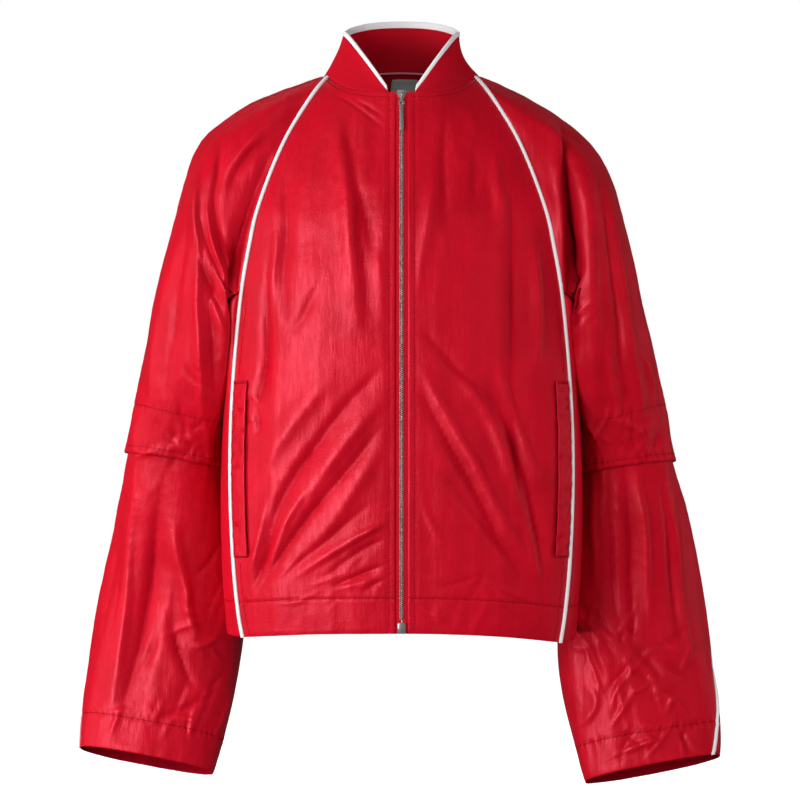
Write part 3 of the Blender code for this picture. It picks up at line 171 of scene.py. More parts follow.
def nylonTaffeta(name, side):
    made, tree, shader, place = startMaterial(name)
    onPiece = {"Vector": (place, "Object")}
    streak, crease, grain = (1 / (nylonLook[k + "Pitch"] * 2 * mm) for k in ("streak", "crease", "grain"))
    tall = addNode(tree, "Mapping", {"Scale": (streak, streak, streak / 6)}, onPiece)
    fine = {"Scale": 1.0, "Detail": 3.0, "Roughness": 0.55, "Distortion": 0.4}
    streaks = addNode(tree, "TexNoise", fine, {"Vector": (tall, "Vector")})
    sharp = {"Scale": crease, "Detail": 3.0, "Roughness": 0.5, "Distortion": 0.3}
    creases = addNode(tree, "TexNoise", sharp, onPiece, noise_type="RIDGED_MULTIFRACTAL")
    grains = addNode(tree, "TexNoise", {"Scale": grain, "Detail": 1.0}, onPiece)
    patches = addNode(tree, "TexNoise", {"Scale": 14.0, "Detail": 4.0, "Roughness": 0.6}, onPiece)
    colours = tuple(zip((0.3, 0.7), nylonLook[side]))
    tint = addNode(tree, "ValToRGB", {}, {"Fac": (patches, "Fac")}, colours)
    # painted shade: deep in its folds the cloth sees less light and more of itself, so its colour and gloss
    # are painted deeper there, and lighter on the ridges as painted highlight
    fold = addNode(tree, "Attribute", attribute_name="fold")
    levels = []
    for key in ("foldShade", "foldGloss"):
        low, high = nylonLook[key]
        span = {"From Min": -2.0, "From Max": 1.0, "To Min": low, "To Max": high}
        levels.append(addNode(tree, "MapRange", span, {"Value": (fold, "Fac")}, clamp=key == "foldGloss"))
    darken = {0: (tint, "Color"), "Scale": (levels[0], "Result")}
    shaded = addNode(tree, "VectorMath", {}, darken, operation="SCALE")
    specular = {1: nylonLook["specular"][side]}
    glossy = addNode(tree, "Math", specular, {0: (levels[1], "Result")}, operation="MULTIPLY")
    low, high = nylonLook["roughness"]
    span = {"From Min": 0.3, "From Max": 0.7, "To Min": low, "To Max": high}
    rough = addNode(tree, "MapRange", span, {"Value": (streaks, "Fac")})
    normal = {}
    for strength, depth, height in ((0.5, 0.6, streaks), (0.7, 1.8, creases), (0.5, 0.3, grains)):
        raised = {"Strength": strength, "Distance": depth * mm}
        bump = addNode(tree, "Bump", raised, {"Height": (height, "Fac"), **normal})
        normal = {"Normal": (bump, "Normal")}
    values = {"IOR": nylonLook["ior"], "Specular Tint": linear(nylonLook["gloss"])}
    fed = {"Specular IOR Level": (glossy, "Value"), "Roughness": (rough, "Result"), **normal}
    feed(tree, shader, values, {"Base Color": (shaded, "Vector"), **fed})
    return made


# Cloths with threads that show, on the piece's own UV map; the first colour, between the threads, is
# painted shade in the grooves
plainWeave = {"topFrom": 0.6, "slant": 0, "threads": "XY", "wobble": (0.3, 2.0), "roughness": 0.8}
plainWeave.update(specular=0.2, bump=(0.5, 0.2))
threadLooks = {
    # Cotton rib knit, matt and even: fine upright ribs that only a close look shows
    "cotton rib knit": {
        "colours": ("#B4091D", "#BE0A20"),
        "topFrom": 0.45,
        "pitch": 2.2,  # mm between ribs
        "slant": 0,
        "threads": "X",
        "wobble": (0.0, 2.0),
        "roughness": 0.85,
        "specular": 0.12,
        "bump": (0.25, 0.3),  # strength, and depth in mm
        "fuzz": (0.3, 0.2),
    },
    # Satin bias tape in off-white polyester: its twill runs slantwise round the cord
    "off-white satin bias tape": {
        "colours": ("#E6E2E5", "#FAF8F9"),
        "topFrom": 0.5,
        "pitch": 1.3,
        "slant": 40,
        "threads": "X",
        "wobble": (0.6, 1.0),
        "roughness": 0.5,
        "specular": 0.5,
        "bump": (0.4, 0.2),
    },
    # Plain close weaves, matt, with crossed threads
    "woven red zip tape": {**plainWeave, "colours": ("#B80A20", "#DE0E28"), "pitch": 1.2},
    "charcoal woven label": {**plainWeave, "colours": ("#7C8481", "#A3ABA7"), "pitch": 1.4},
    # painted highlight: pale pink for the gloss along the thin tape's edge
    "neck tape painted pale pink as its highlight": {
        **plainWeave,
        "colours": ("#B97A84", "#D9A9B0"),
        "pitch": 1.2,
        "roughness": 0.7,
    },
}


def threadedCloth(name):
    look = threadLooks[name]
    made, tree, shader, place = startMaterial(name)
    turn = {"Rotation": (0, 0, math.radians(look["slant"]))}
    slanted = addNode(tree, "Mapping", turn, {"Vector": (place, "UV")})
    scale = 1 / (look["pitch"] * mm) / 20 * 2 * math.pi  # a wave of scale 1 repeats every pi / 10
    values = {"Scale": scale, "Distortion": look["wobble"][0], "Detail": look["wobble"][1]}
    height = None
    for way in look["threads"]:
        waves = addNode(tree, "TexWave", values, {"Vector": (slanted, "Vector")}, bands_direction=way)
        if height:
            crossed = addNode(tree, "Math", {}, {0: height, 1: (waves, "Fac")}, operation="MULTIPLY")
        height = (crossed, "Value") if height else (waves, "Fac")
    # painted shade: the first colour darkens the grooves between the threads
    colours = tuple(zip((0.0, look["topFrom"]), look["colours"]))
    tint = addNode(tree, "ValToRGB", {}, {"Fac": height}, colours)
    layers = [(*look["bump"], height)]
    if "fuzz" in look:
        fuzz = addNode(tree, "TexNoise", {"Scale": 700.0, "Detail": 2.0}, {"Vector": (place, "UV")})
        layers.append((*look["fuzz"], (fuzz, "Fac")))
    normal = {}
    for strength, depth, height in layers:
        raised = {"Strength": strength, "Distance": depth * mm}
        bump = addNode(tree, "Bump", raised, {"Height": height, **normal})
        normal = {"Normal": (bump, "Normal")}
    values = {"Roughness": look["roughness"], "Specular IOR Level": look["specular"]}
    feed(tree, shader, values, {"Base Color": (tint, "Color"), **normal})
    return made


# Nickel-plated zinc, tumbled after casting: bright on the high places, greyer and rougher in between
metalLooks = {
    # painted reflection: the tumbled plate's pink cast stands for the red cloth round the teeth
    "tumbled nickel plate": {"colours": ("#8E7F7C", "#CDBBB7"), "roughness": (0.34, 0.48), "metallic": 0.7},
    "polished nickel plate on cast zinc": {
        "colours": ("#BBB6B3", "#D6D2CF"),
        "roughness": (0.2, 0.3),
        "metallic": 0.8,
    },
}


def nickelPlate(name):
    look = metalLooks[name]
    made, tree, shader, place = startMaterial(name)
    low, high = look["roughness"]
    patches = addNode(tree, "TexNoise", {"Scale": 420.0, "Detail": 4.0}, {"Vector": (place, "Object")})
    colours = tuple(zip((0.35, 0.6), look["colours"]))
    tint = addNode(tree, "ValToRGB", {}, {"Fac": (patches, "Fac")}, colours)
    span = {"From Min": 0.35, "From Max": 0.65, "To Min": high, "To Max": low}
    worn = addNode(tree, "MapRange", span, {"Value": (patches, "Fac")})
    shallow = {"Strength": 0.2, "Distance": 0.05 * mm}
    pitted = addNode(tree, "Bump", shallow, {"Height": (patches, "Fac")})
    fed = {"Base Color": (tint, "Color"), "Roughness": (worn, "Result"), "Normal": (pitted, "Normal")}
    feed(tree, shader, {"Metallic": look["metallic"]}, fed)
    return made


# Spun polyester sewing thread, a shade deeper than the cloth, with a fine fuzz
def sewingThread():
    made, tree, shader, place = startMaterial("red polyester thread")
    fuzz = addNode(tree, "TexNoise", {"Scale": 900.0, "Detail": 2.0}, {"Vector": (place, "Object")})
    tint = addNode(tree, "ValToRGB", {}, {"Fac": (fuzz, "Fac")}, ((0.0, "#7A0513"), (1.0, "#A80A1E")))
    feed(tree, shader, {"Roughness": 0.7, "Specular IOR Level": 0.12}, {"Base Color": (tint, "Color")})
    return made


materials = {
    "shell": nylonTaffeta("crinkled nylon taffeta", "face"),
    "reverse": nylonTaffeta("reverse of the nylon taffeta, darkened as painted shade", "back"),
    "rib": threadedCloth("cotton rib knit"),
    "trim": threadedCloth("off-white satin bias tape"),
    "tape": threadedCloth("woven red zip tape"),
    "label": threadedCloth("charcoal woven label"),
    "neckTape": threadedCloth("neck tape painted pale pink as its highlight"),
    "metal": nickelPlate("tumbled nickel plate"),
    "castMetal": nickelPlate("polished nickel plate on cast zinc"),
    "thread": sewingThread(),
}
print("materials made")

# the cut of the jacket, in millimetres, as its solids have it

bodyRound = 2.3  # exponent of the body's oval sections
sleeveRound = 2.3
zipEdge = 6.5  # from the centre to each front's edge
armpitRow = 5  # the row of the body tables at the armpit
armpitDip = 14
hemLean = 3  # the left side hangs this much lower than the middle, and the right side higher
lastRow = 11

# Front: heights at the centre and at the piped seam, then the seam's distance from the centre,
# the oval's half width, the depth at which it is widest, the centre front and the row's droop
frontRows = (
    # centre z, seam z, seam x, side x, side y, front y, droop
    (-28.5, -5, 84, 89, 0, -92, 3.8),
    (-52, -32, 102.5, 125, 0, -97, 3.8),
    (-90, -82, 131, 176, 0, -104, 3.6),
    (-150, -150, 157.5, 205, -4, -118, 3.4),
    (-200, -200, 169.5, 207, -12, -123, 3.2),
    (-250, -248, 177.7, 204, -22, -126, 3),
    (-325, -325, 186, 198, -28, -127, 3),
    (-400, -402, 190.3, 203, -30, -126, 3),
    (-475, -478, 190.5, 205.5, -31, -125, 3),
    (-550, -555, 187, 204, -31, -123, 2.8),
    (-600, -608, 181.8, 200.5, -30, -121, 2.6),
    (-627, -638, 176.8, 198, -30, -119, 2.5),
)
backRows = (
    # centre z, seam z, seam x, side x, side y, back y, droop
    (17, 10, 62, 89, 0, 75, 2),
    (-8, -18, 86, 140, 0, 92, 2),
    (-50, -60, 112, 182, 0, 108, 2),
    (-110, -125, 140, 207, -1, 118, 2),
    (-180, -190, 160, 207, -8, 121, 2),
    (-250, -248, 172, 204, -22, 120, 2),
    (-325, -325, 174, 198, -28, 118, 2),
    (-400, -402, 174, 203, -30, 117, 2),
    (-475, -478, 174, 205.5, -31, 116, 2),
    (-550, -555, 173, 204, -31, 115, 2),
    (-600, -608, 171, 200.5, -30, 113, 2),
    (-630, -637, 169, 198, -30, 112, 2),
)

# Sleeves: oval rings from the armpit to the cuff. The first two columns place the ring's outermost
# point, the next two its innermost one; then its middle depth, how far it reaches to the front and
# to the back, how far its front is tipped up (degrees) and where the outer seam runs round it
sleeveRows = {
    "left": (
        # outer x, outer z, inner x, inner z, mid y, front, back, tip, seam angle
        (275, -261, 204.5, -287, 12, 81, 80, 0, -8),
        (290, -312.5, 201, -338, 18, 80, 76, 0, -8),
        (307, -382, 203.5, -408, 32, 72, 70, 2, -8),
        (322, -452, 202, -478, 43, 63, 62, 5, -8),
        (336.5, -522.5, 194.5, -548, 50, 57, 56, 8, -6),
        (349, -593, 184.5, -621, 54, 50, 50, 11, -4),
        (359, -663, 184.5, -691, 46, 45, 45, 14, 4),
        (369.5, -731, 199, -760, 32, 40, 40, 17, 20),
        (369, -783, 212.5, -813, 18, 35, 35, 20, 34),
    ),
    "right": (
        (283, -261, 204.5, -287, 12, 81, 80, 0, 12),
        (293.5, -312.5, 201, -338, 18, 80, 76, 0, 12),
        (311, -382, 203.5, -408, 32, 72, 70, 2, 12),
        (325.5, -452, 202, -478, 43, 63, 62, 5, 6),
        (334.5, -522.5, 194.5, -548, 50, 57, 56, 8, -10),
        (349.5, -593, 184.5, -621, 54, 50, 50, 11, -13),
        (361, -663, 191.5, -691, 46, 45, 45, 14, -10),
        (370.5, -731, 206, -758, 32, 40, 40, 17, -1),
        (372.5, -773.5, 218.9, -802.5, 18, 35, 35, 20, 6),
    ),
}
firstRing = 6  # sleeve lengths are counted in rings, and the armhole takes the first six
cuffRing = firstRing + len(sleeveRows["left"]) - 1
# How the cloth leaves the armhole, every 30 degrees round it from the top by way of the front:
# a direction, the strength of that lead, and the strength with which it runs into the first ring
armholeRows = (
    # x, y, z, leave, arrive
    (0.87, 0, -0.48, 450, 570),
    (0.82, -0.20, -0.53, 390, 470),
    (0.78, -0.22, -0.58, 290, 350),
    (0.76, -0.12, -0.64, 200, 250),
    (0.80, -0.20, -0.56, 120, 140),
    (0.80, -0.25, -0.54, 70, 85),
    (0.50, 0, -0.86, 30, 35),
    (0.85, 0.10, -0.50, 60, 70),
    (0.80, 0.28, -0.52, 125, 145),
    (0.80, 0.25, -0.55, 200, 250),
    (0.83, 0.25, -0.50, 290, 350),
    (0.85, 0.15, -0.50, 390, 470),
)
# Below the armhole the front of each sleeve rolls forwards over the side of the body: how far in
# and how far forwards, for each length in rings (down) and angle from the top (across)
rollLengths = (1, 2, 3, 4, 5, 6, 6.8, 7.6, 8.5)
rollAngles = (70, 86, 102, 118, 134, 150, 165, 180)
rollIn = (
    (0, 0, 0, 0, 0, 0, 0, 0),
    (0, 0, 0, 1, 4, 3, 0, 0),
    (0, 0, 1, 5, 11, 4, 0, 0),
    (0, 0, 3, 9, 17, 8, 0, 0),
    (0, 1, 5, 13, 22, 10, 0, 0),
    (0, 2, 6, 15, 24, 9, 0, 0),
    (0, 1, 5, 12, 19, 6, 0, 0),
    (0, 0, 3, 8, 13, 5, 0, 0),
    (0, 0, 0, 0, 0, 0, 0, 0),
)
rollForward = (
    (0, 0, 0, 0, 1, 2, 0, 0),
    (0, 1, 3, 5, 9, 8, 3, 0),
    (0, 2, 5, 12, 20, 16, 6, 0),
    (0, 3, 8, 17, 27, 20, 8, 0),
    (1, 4, 10, 20, 30, 22, 9, 0),
    (1, 4, 11, 21, 31, 22, 10, 0),
    (0, 3, 9, 18, 25, 18, 8, 0),
    (0, 1, 5, 11, 16, 12, 5, 0),
    (0, 0, 0, 0, 0, 0, 0, 0),
)
# How far the top of the shoulder stands out beyond those leads, at each sixth of the way
shoulderFill = {
    "left": (0, 5.6, 8, 12.4, 12.2, 6.3, 0),
    "right": (0, 11, 14.8, 15, 6.2, 0, 0),
}
neckFront, neckBack = 22, -30  # angles round the armhole where it meets the neck
underFront, underBack = 150, 210  # and where it meets the side panel
flapHem = {"left": (8.86, 8.70), "right": (8.72, 8.60)}  # outer and inner ends, in rings
flapStitch = 7.9
flapClear = 3.4  # the lower sleeve starts this far inside the flap
# Collar
collarHalfWidth = 66.5
collarFront = -76
collarBack = 62
collarSideZ = 52
collarRiseBack = 23
collarEnd = 15.5  # from the centre, where the collar tapers to nothing at the zip
collarFlare, collarUneven = 2, 0.6  # the left of the collar bends in lower than the right
collarFirst = collarEnd + 1.5  # and where its upper edge does
collarEndZ = -20.5
shoulderTop = 3.4  # height of the neck seam at the shoulder
bindingHeight = 5.5
seamGap = 0.3
weltTop, weltBottom = -349, -546
weltFrom, weltTo = 4, 24  # from the piped seam


# a smooth run from one value to another that leaves and arrives with the given slopes
def curve(start, leave, end, arrive, part):
    square, cube = part**2, part**3
    return (
        start * (2 * cube - 3 * square + 1)
        + leave * (cube - 2 * square + part)
        + end * (3 * square - 2 * cube)
        + arrive * (cube - square)
    )


# values between the rows of a table, on a smooth curve through them
def through(rows, at):
    rows = np.asarray(rows, float)
    at = np.clip(np.asarray(at, float), 0, len(rows) - 1)
    slopes = np.gradient(rows, axis=0)
    low = np.minimum(at.astype(int), len(rows) - 2)
    return curve(rows[low], slopes[low], rows[low + 1], slopes[low + 1], (at - low)[..., None])


# from nought to one over a reach, and a bell that is one at nought and gone at about twice its reach
def rise(distance, reach):
    return np.clip(distance / reach, 0, 1)


def bell(distance, reach):
    return np.exp(-((distance / reach) ** 2))


def unit(vectors):
    return vectors / np.maximum(np.linalg.norm(vectors, axis=-1, keepdims=True), 1e-9)


def pointsAt(x, y, z):
    return np.stack(np.broadcast_arrays(x, y, z), -1)


# depth of an oval at a share of its half width
def bow(share):
    return np.maximum(1 - np.abs(share) ** bodyRound, 0) ** (1 / bodyRound)


# cosine and sine of a squarish circle
def oval(angle, power):
    return (np.sign(wave) * np.abs(wave) ** (2 / power) for wave in (np.cos(angle), np.sin(angle)))


# how far round the body's oval a share of its half width is reached
def ovalAngle(share):
    return np.arcsin(share ** (bodyRound / 2))


# how far a point is lowered by the slant of the hem
def lean(row, share, side):
    return side * hemLean * rise(row - 8, 3) ** 2 * share**2


# on a front, at a share of the way from the zip edge to the piped seam
def frontPoint(row, share, side):
    midZ, seamZ, seamX, sideX, sideY, frontY, droop = np.moveaxis(through(frontRows, row), -1, 0)
    x = zipEdge + (seamX - zipEdge) * share
    z = midZ + (seamZ - midZ) * (x / seamX) ** droop - lean(row, x / seamX, side)
    return pointsAt(side * x, sideY - (sideY - frontY) * bow(x / sideX), z)


# on the back, from -1 at the right seam to 1 at the left one
def backPoint(row, share):
    midZ, seamZ, seamX, sideX, sideY, backY, droop = np.moveaxis(through(backRows, row), -1, 0)
    x = seamX * share
    z = midZ + (seamZ - midZ) * np.abs(share) ** droop - lean(row, share, 1) * np.sign(share)
    return pointsAt(x, sideY + (backY - sideY) * bow(x / sideX), z)


# on a side panel, from the piped seam to the back seam
def sidePoint(row, share, side):
    front, back = (np.moveaxis(through(rows, row), -1, 0) for rows in (frontRows, backRows))
    sideX, sideY = front[3:5] + (back[3:5] - front[3:5]) * share
    first, last = ovalAngle(front[2] / front[3]), math.pi - ovalAngle(back[2] / back[3])
    c, s = oval(first + (last - first) * share, bodyRound)
    depth = np.where(c > 0, sideY - front[5], back[5] - sideY)
    dip = armpitDip * np.clip(1 - (row - armpitRow) / 2.5, 0, 1) ** 2
    z = front[1] + (back[1] - front[1]) * share - dip * np.sin(math.pi * share)
    return pointsAt(side * sideX * s, sideY - depth * c, z - lean(row, np.ones_like(share), side))


# on the neck seam of a sleeve, from the front raglan seam to the back one
def neckPoint(share, side):
    frontEnd, backEnd = frontPoint(np.float64(0), np.float64(1), 1), backPoint(np.float64(0), np.float64(1))
    width = frontRows[0][3]
    first, last = ovalAngle(frontEnd[0] / width), math.pi - ovalAngle(backEnd[0] / width)
    c, s = oval(first + (last - first) * share, bodyRound)
    y = np.where(c > 0, frontRows[0][5] * c, -backRows[0][5] * c)
    z = [shoulderTop + (end[2] - shoulderTop) * y / end[1] for end in (frontEnd, backEnd)]
    return pointsAt(side * width * s, y, np.where(y < 0, *z))


# the body row at an angle round the armhole, between its neck and its underarm
def raglanRow(rows, angle, first, last):
    position, start, end = (next(oval(np.radians(a), sleeveRound)) for a in (angle, first, last))
    height = rows[0][1] + (rows[armpitRow][1] - rows[0][1]) * ((start - position) / (start - end))
    fine = np.linspace(0, armpitRow, 501)
    return np.interp(-height, -through(rows, fine)[:, 1], fine)


# on the seam where a sleeve joins the body and the collar; angles in degrees from the top
def armholePoint(angle, side):
    angle = (angle + 180) % 360 - 180
    if neckBack <= angle <= neckFront:
        return neckPoint(np.float64((neckFront - angle) / (neckFront - neckBack)), side)
    if neckFront < angle < underFront:
        return frontPoint(raglanRow(frontRows, angle, neckFront, underFront), np.float64(1), side)
    if underBack - 360 < angle < neckBack:
        row = raglanRow(backRows, angle, neckBack, underBack - 360)
        return backPoint(row, np.float64(1)) * np.array([side, 1, 1])
    share = (angle % 360 - underFront) / (underBack - underFront)
    return sidePoint(np.float64(armpitRow), np.float64(share), side)


# on one oval ring of a sleeve
def ringPoint(values, angle, side):
    outerX, outerZ, innerX, innerZ, midY, front, back, tip = values[:8]
    c, s = oval(math.radians(angle), sleeveRound)
    depth = (front if s > 0 else back) * s
    x = side * ((outerX + innerX) / 2 + (outerX - innerX) / 2 * c)
    z = (outerZ + innerZ) / 2 + (outerZ - innerZ) / 2 * c + depth * math.sin(math.radians(tip))
    return np.array([x, midY - depth * math.cos(math.radians(tip)), z])


# how far a point of a sleeve is moved by the roll below the armhole
def roll(angle, length, side):
    if not (rollAngles[0] < angle < rollAngles[-1] and rollLengths[0] < length < rollLengths[-1]):
        return np.zeros(3)
    row = np.interp(length, rollLengths, np.arange(len(rollLengths)))
    column = np.interp(angle, rollAngles, np.arange(len(rollAngles)))
    inward, forward = (through(through(table, row), column)[0] for table in (rollIn, rollForward))
    return np.array([-side * inward, -forward, 0])


# on a sleeve, at an angle round it and a length along it in rings
def sleevePoint(angle, length, name):
    side, rows = sides[name], sleeveRows[name]
    if length >= firstRing:
        return ringPoint(through(rows, length - firstRing), angle, side) + roll(angle, length, side)
    start, end = armholePoint(angle, side), ringPoint(rows[0], angle, side)
    turn = (angle % 360) / 30
    around = np.asarray(armholeRows + armholeRows[:2], float)
    lead = through(around, turn) if turn >= 1 else through(np.roll(around[:12], 1, axis=0), turn + 1)
    away = unit(lead[:3] * np.array([side, 1, 1])) * lead[3]
    onward = unit(ringPoint(rows[1], angle, side) - end) * lead[4]
    point = curve(start, away, end, onward, length / firstRing) + roll(angle, length, side)
    slope = math.radians(65 - 9 * length)  # the way in which the top of the shoulder is filled out
    top = through([(k,) for k in shoulderFill[name]], length)[0] * math.cos(math.radians(angle) / 2) ** 4
    return point + top * np.array([side * math.cos(slope), 0, math.sin(slope)])


# where the outer seam runs round a sleeve, in degrees
def seamAngle(length, name):
    return float(through(sleeveRows[name], max(length - firstRing, 0))[8])


# length of the upper sleeve down to the flap's hem
def flapEnd(angle, name):
    outer, inner = flapHem[name]
    return inner + (outer - inner) * (1 + math.cos(math.radians(angle))) / 2


# upper edge of the collar, in degrees round the neck from the centre front
def collarTop(angle):
    c, s = oval(math.radians(angle), bodyRound)
    x = collarHalfWidth * s
    if c > 0:
        share = (x - collarFirst) / (collarHalfWidth - collarFirst)
        front = frontRows[0][5] + 1 + (collarFront - frontRows[0][5]) * max(share, 0)
        return np.array([x, front * c, collarEndZ + (collarSideZ - collarEndZ) * share])
    return np.array([x, -collarBack * c, collarSideZ + collarRiseBack * math.sin(math.radians(angle - 90))])


# angle of a point of the neck seam round the neck, in degrees from the centre front
def neckAngle(x, y):
    angle = math.degrees(ovalAngle(min(abs(x) / frontRows[0][3], 1)))
    return angle if y < 0 else 180 - angle


# up the collar from a point of the neck seam
def collarPoint(base, share):
    first, topFirst = neckAngle(collarEnd, -1), math.degrees(ovalAngle(collarFirst / collarHalfWidth))
    spread = (neckAngle(base[0], base[1]) - first) / (180 - first)
    top = collarTop(topFirst + (180 - topFirst) * spread) * np.array([-1 if base[0] < 0 else 1, 1, 1])
    inward = 1 - (1 - share) ** (collarFlare + collarUneven * np.clip(base[0] / 60, -1, 1))
    return base + (top - base) * np.array([inward, inward, share])


# Where the panels' rows and columns run
raglanFront = [neckFront + 16 * k for k in range(9)]
raglanBack = [neckBack - 15 * k for k in range(9)]
underSteps = [165, 180]
neckSteps = 3
bodySteps = 16


def bodyRows(rows, angles, first, last):
    above = [float(raglanRow(rows, a, first, last)) for a in angles[1:-1]]
    below = [armpitRow + (lastRow - armpitRow) * k / bodySteps for k in range(bodySteps + 1)]
    return np.array([0, *above, *below])[:, None]


# the fronts' columns are closer together where their edge curves at the neck
def frontGrid(side):
    neckX, end = frontRows[0][2], math.radians(76)
    angles = np.linspace(math.asin(collarEnd / neckX * math.sin(end)), end, 9)
    columns = (neckX * np.sin(angles) / math.sin(end) - zipEdge) / (neckX - zipEdge)
    rows = bodyRows(frontRows, raglanFront, neckFront, underFront)
    return frontPoint(rows, np.array([0, *columns]), side)


def backGrid():
    half = np.sin(np.linspace(0, math.radians(78), 9)) / math.sin(math.radians(78))
    rows = bodyRows(backRows, raglanBack, neckBack, underBack - 360)
    return backPoint(rows, np.concatenate([-half[:0:-1], half]))


def sideGrid(side):
    rows = bodyRows(frontRows, raglanFront, neckFront, underFront)[len(raglanFront) - 1 :]
    return sidePoint(rows, np.linspace(0, 1, 5), side)


# angles of the upper sleeve's columns, from the outer seam to the one under the arm
def upperAngles(length, name, forward):
    seam = seamAngle(length, name)
    neck = neckFront if forward else neckBack
    first = [seam + (neck - seam) * k / neckSteps for k in range(neckSteps)]
    return first + (raglanFront + underSteps if forward else raglanBack + [-a for a in underSteps])


def upperGrid(name, forward):
    grid = []
    for share in (k / 18 for k in range(19)):
        angles = upperAngles(share * 8.7, name, forward)
        grid.append([sleevePoint(a, share * flapEnd(a, name), name) for a in angles])
    return np.array(grid)


def lowerGrid(name, forward):
    steps, columns, end = 11, 12, 180 if forward else -180
    grid = []
    for k in range(steps + 1):
        length = flapStitch + (cuffRing - flapStitch) * k / steps
        seam = seamAngle(length, name)
        angles = [seam + (end - seam) * j / columns for j in range(columns + 1)]
        grid.append([sleevePoint(a, length, name) for a in angles])
    return np.array(grid)


# points of the neck seam that the collar shares with fronts, sleeves and back
def collarBase():
    halves = []
    wholeBack = backGrid()[0]
    for name, side in sides.items():
        over = upperGrid(name, True)[0, neckSteps - 1 :: -1]
        behind = upperGrid(name, False)[0, 1 : neckSteps + 1]
        back = wholeBack[8:][::-1] if side > 0 else wholeBack[:9]
        halves.append(np.concatenate([frontGrid(side)[0, 1:], over, behind, back[1:]]))
    return np.concatenate([halves[0], halves[1][-2::-1]])


def collarGrids():
    base = collarBase()
    heights = np.linalg.norm([collarPoint(p, 1) - p for p in base], axis=1)
    split = 1 - (bindingHeight + seamGap / 2) / heights
    collar = [[collarPoint(p, s * k / 4) for p, s in zip(base, split)] for k in range(5)]
    binding = [[collarPoint(p, s + (1 - s) * k) for p, s in zip(base, split)] for k in (0, 1)]
    return np.array(collar), np.array(binding)


# nought beside the zip and the piped seam, where the cloth is held flat, and one away from them
def flatBeside(points):
    heights, seams = zip(*((-row[1], row[2]) for row in frontRows))
    across = np.abs(points[:, 0])
    fromSeam = np.abs(across - np.interp(-points[:, 2], heights, seams))
    fromZip = np.where(points[:, 1] < 0, across, 99)
    return rise(fromSeam - 6, 20) * rise(fromZip - 14, 20)


# the shell: the same panels as fine sheets of cloth, which meet at their seams

sheetSteps = {"rows": 8, "sleeve": 8, "front": 7, "back": 7, "side": 8, "upperRows": 9}
sheetSteps.update(lowerRows=12, lower=8, collar=8)
shellWall = 1.1  # mm, one layer of nylon with its seam allowance


# directions out of a grid from its own rows and columns, and the sign that turns them away from an axis
def gridNormals(grid):
    return unit(np.cross(np.gradient(grid, axis=1), np.gradient(grid, axis=0)))


def outwardSign(grid, normals, axis):
    return np.sign((normals[..., :2] * (grid[..., :2] - np.array(axis))).sum())


# values on smooth curves through the first axis of a grid; each span between two breaks keeps its own ends
def finer(grid, steps, breaks=()):
    flat = grid.reshape(len(grid), -1)
    spans = []
    stops = [0, *breaks, len(grid) - 1]
    for first, last in zip(stops, stops[1:]):
        part = flat[first : last + 1]
        slopes = np.gradient(part, axis=0, edge_order=2 if len(part) > 2 else 1)
        at = np.linspace(0, last - first, (last - first) * steps + 1)
        low = np.minimum(at.astype(int), last - first - 1)
        span = curve(part[low], slopes[low], part[low + 1], slopes[low + 1], (at - low)[:, None])
        spans.append(span[1:] if spans else span)
    return np.concatenate(spans).reshape(-1, *grid.shape[1:])


def finerSheet(grid, rowSteps, columnSteps, columnBreaks=()):
    return finer(finer(grid, rowSteps).swapaxes(0, 1), columnSteps, columnBreaks).swapaxes(0, 1)


# distance along a grid's rows or columns from its first line, in millimetres
def lengthAlong(points, axis):
    step = np.linalg.norm(np.diff(points, axis=axis), axis=-1)
    zero = np.zeros_like(np.take(step, [0], axis=axis))
    return np.concatenate([zero, np.cumsum(step, axis=axis)], axis=axis)


panels = {}


def addPanel(name, grid, axis, sewn):
    normals = gridNormals(grid)
    flip = outwardSign(grid, normals, axis)
    down, across = lengthAlong(grid, 0), lengthAlong(grid, 1)
    panels[name] = {"points": grid, "normals": normals * flip, "flip": flip, "sewn": sewn}
    panels[name].update(fromTop=down, fromBottom=down[-1:] - down)
    panels[name].update(fromFirst=across, fromLast=across[:, -1:] - across)


def cutPanels():
    steps, rows = sheetSteps, sheetSteps["rows"]
    sewnSides = ("fromFirst", "fromLast")
    raglan = neckSteps + len(raglanFront) - 1
    for name, side in sides.items():
        grid = finerSheet(frontGrid(side), rows, steps["front"])
        addPanel(f"front_{name}", grid, (0, 0), ("fromLast",))
        grid = finerSheet(sideGrid(side), rows, steps["side"])
        addPanel(f"side_{name}", grid, (0, 0), (*sewnSides, "fromTop"))
        for half, forward in (("front", True), ("back", False)):
            grid = upperGrid(name, forward)
            grid = finerSheet(grid, steps["upperRows"], steps["sleeve"], (neckSteps, raglan))
            addPanel(f"sleeve_upper_{half}_{name}", grid, (side * 235, 10), (*sewnSides, "fromTop"))
            grid = finerSheet(lowerGrid(name, forward), steps["lowerRows"], steps["lower"])
            addPanel(f"sleeve_lower_{half}_{name}", grid, (side * 275, 40), sewnSides)
    addPanel("back", finerSheet(backGrid(), rows, steps["back"]), (0, 0), sewnSides)


# brings the panels' sewn edges onto the same points, with the same direction outwards
def joinSeams():
    edges = (np.s_[0, :], np.s_[:, 0], np.s_[:, -1])
    spots = [(p, edge, k) for p in panels.values() for edge in edges for k in range(len(p["points"][edge]))]
    points = np.array([panel["points"][edge][k] for panel, edge, k in spots])
    normals = np.array([panel["normals"][edge][k] for panel, edge, k in spots])
    tree = KDTree(len(points))
    for k, point in enumerate(points):
        tree.insert(point, k)
    tree.balance()
    same = [[found[1] for found in tree.find_range(point, 0.9)] for point in points]
    for (panel, edge, k), group in zip(spots, same):
        panel["points"][edge][k] = points[group].mean(axis=0)
        panel["normals"][edge][k] = unit(normals[group].mean(axis=0))


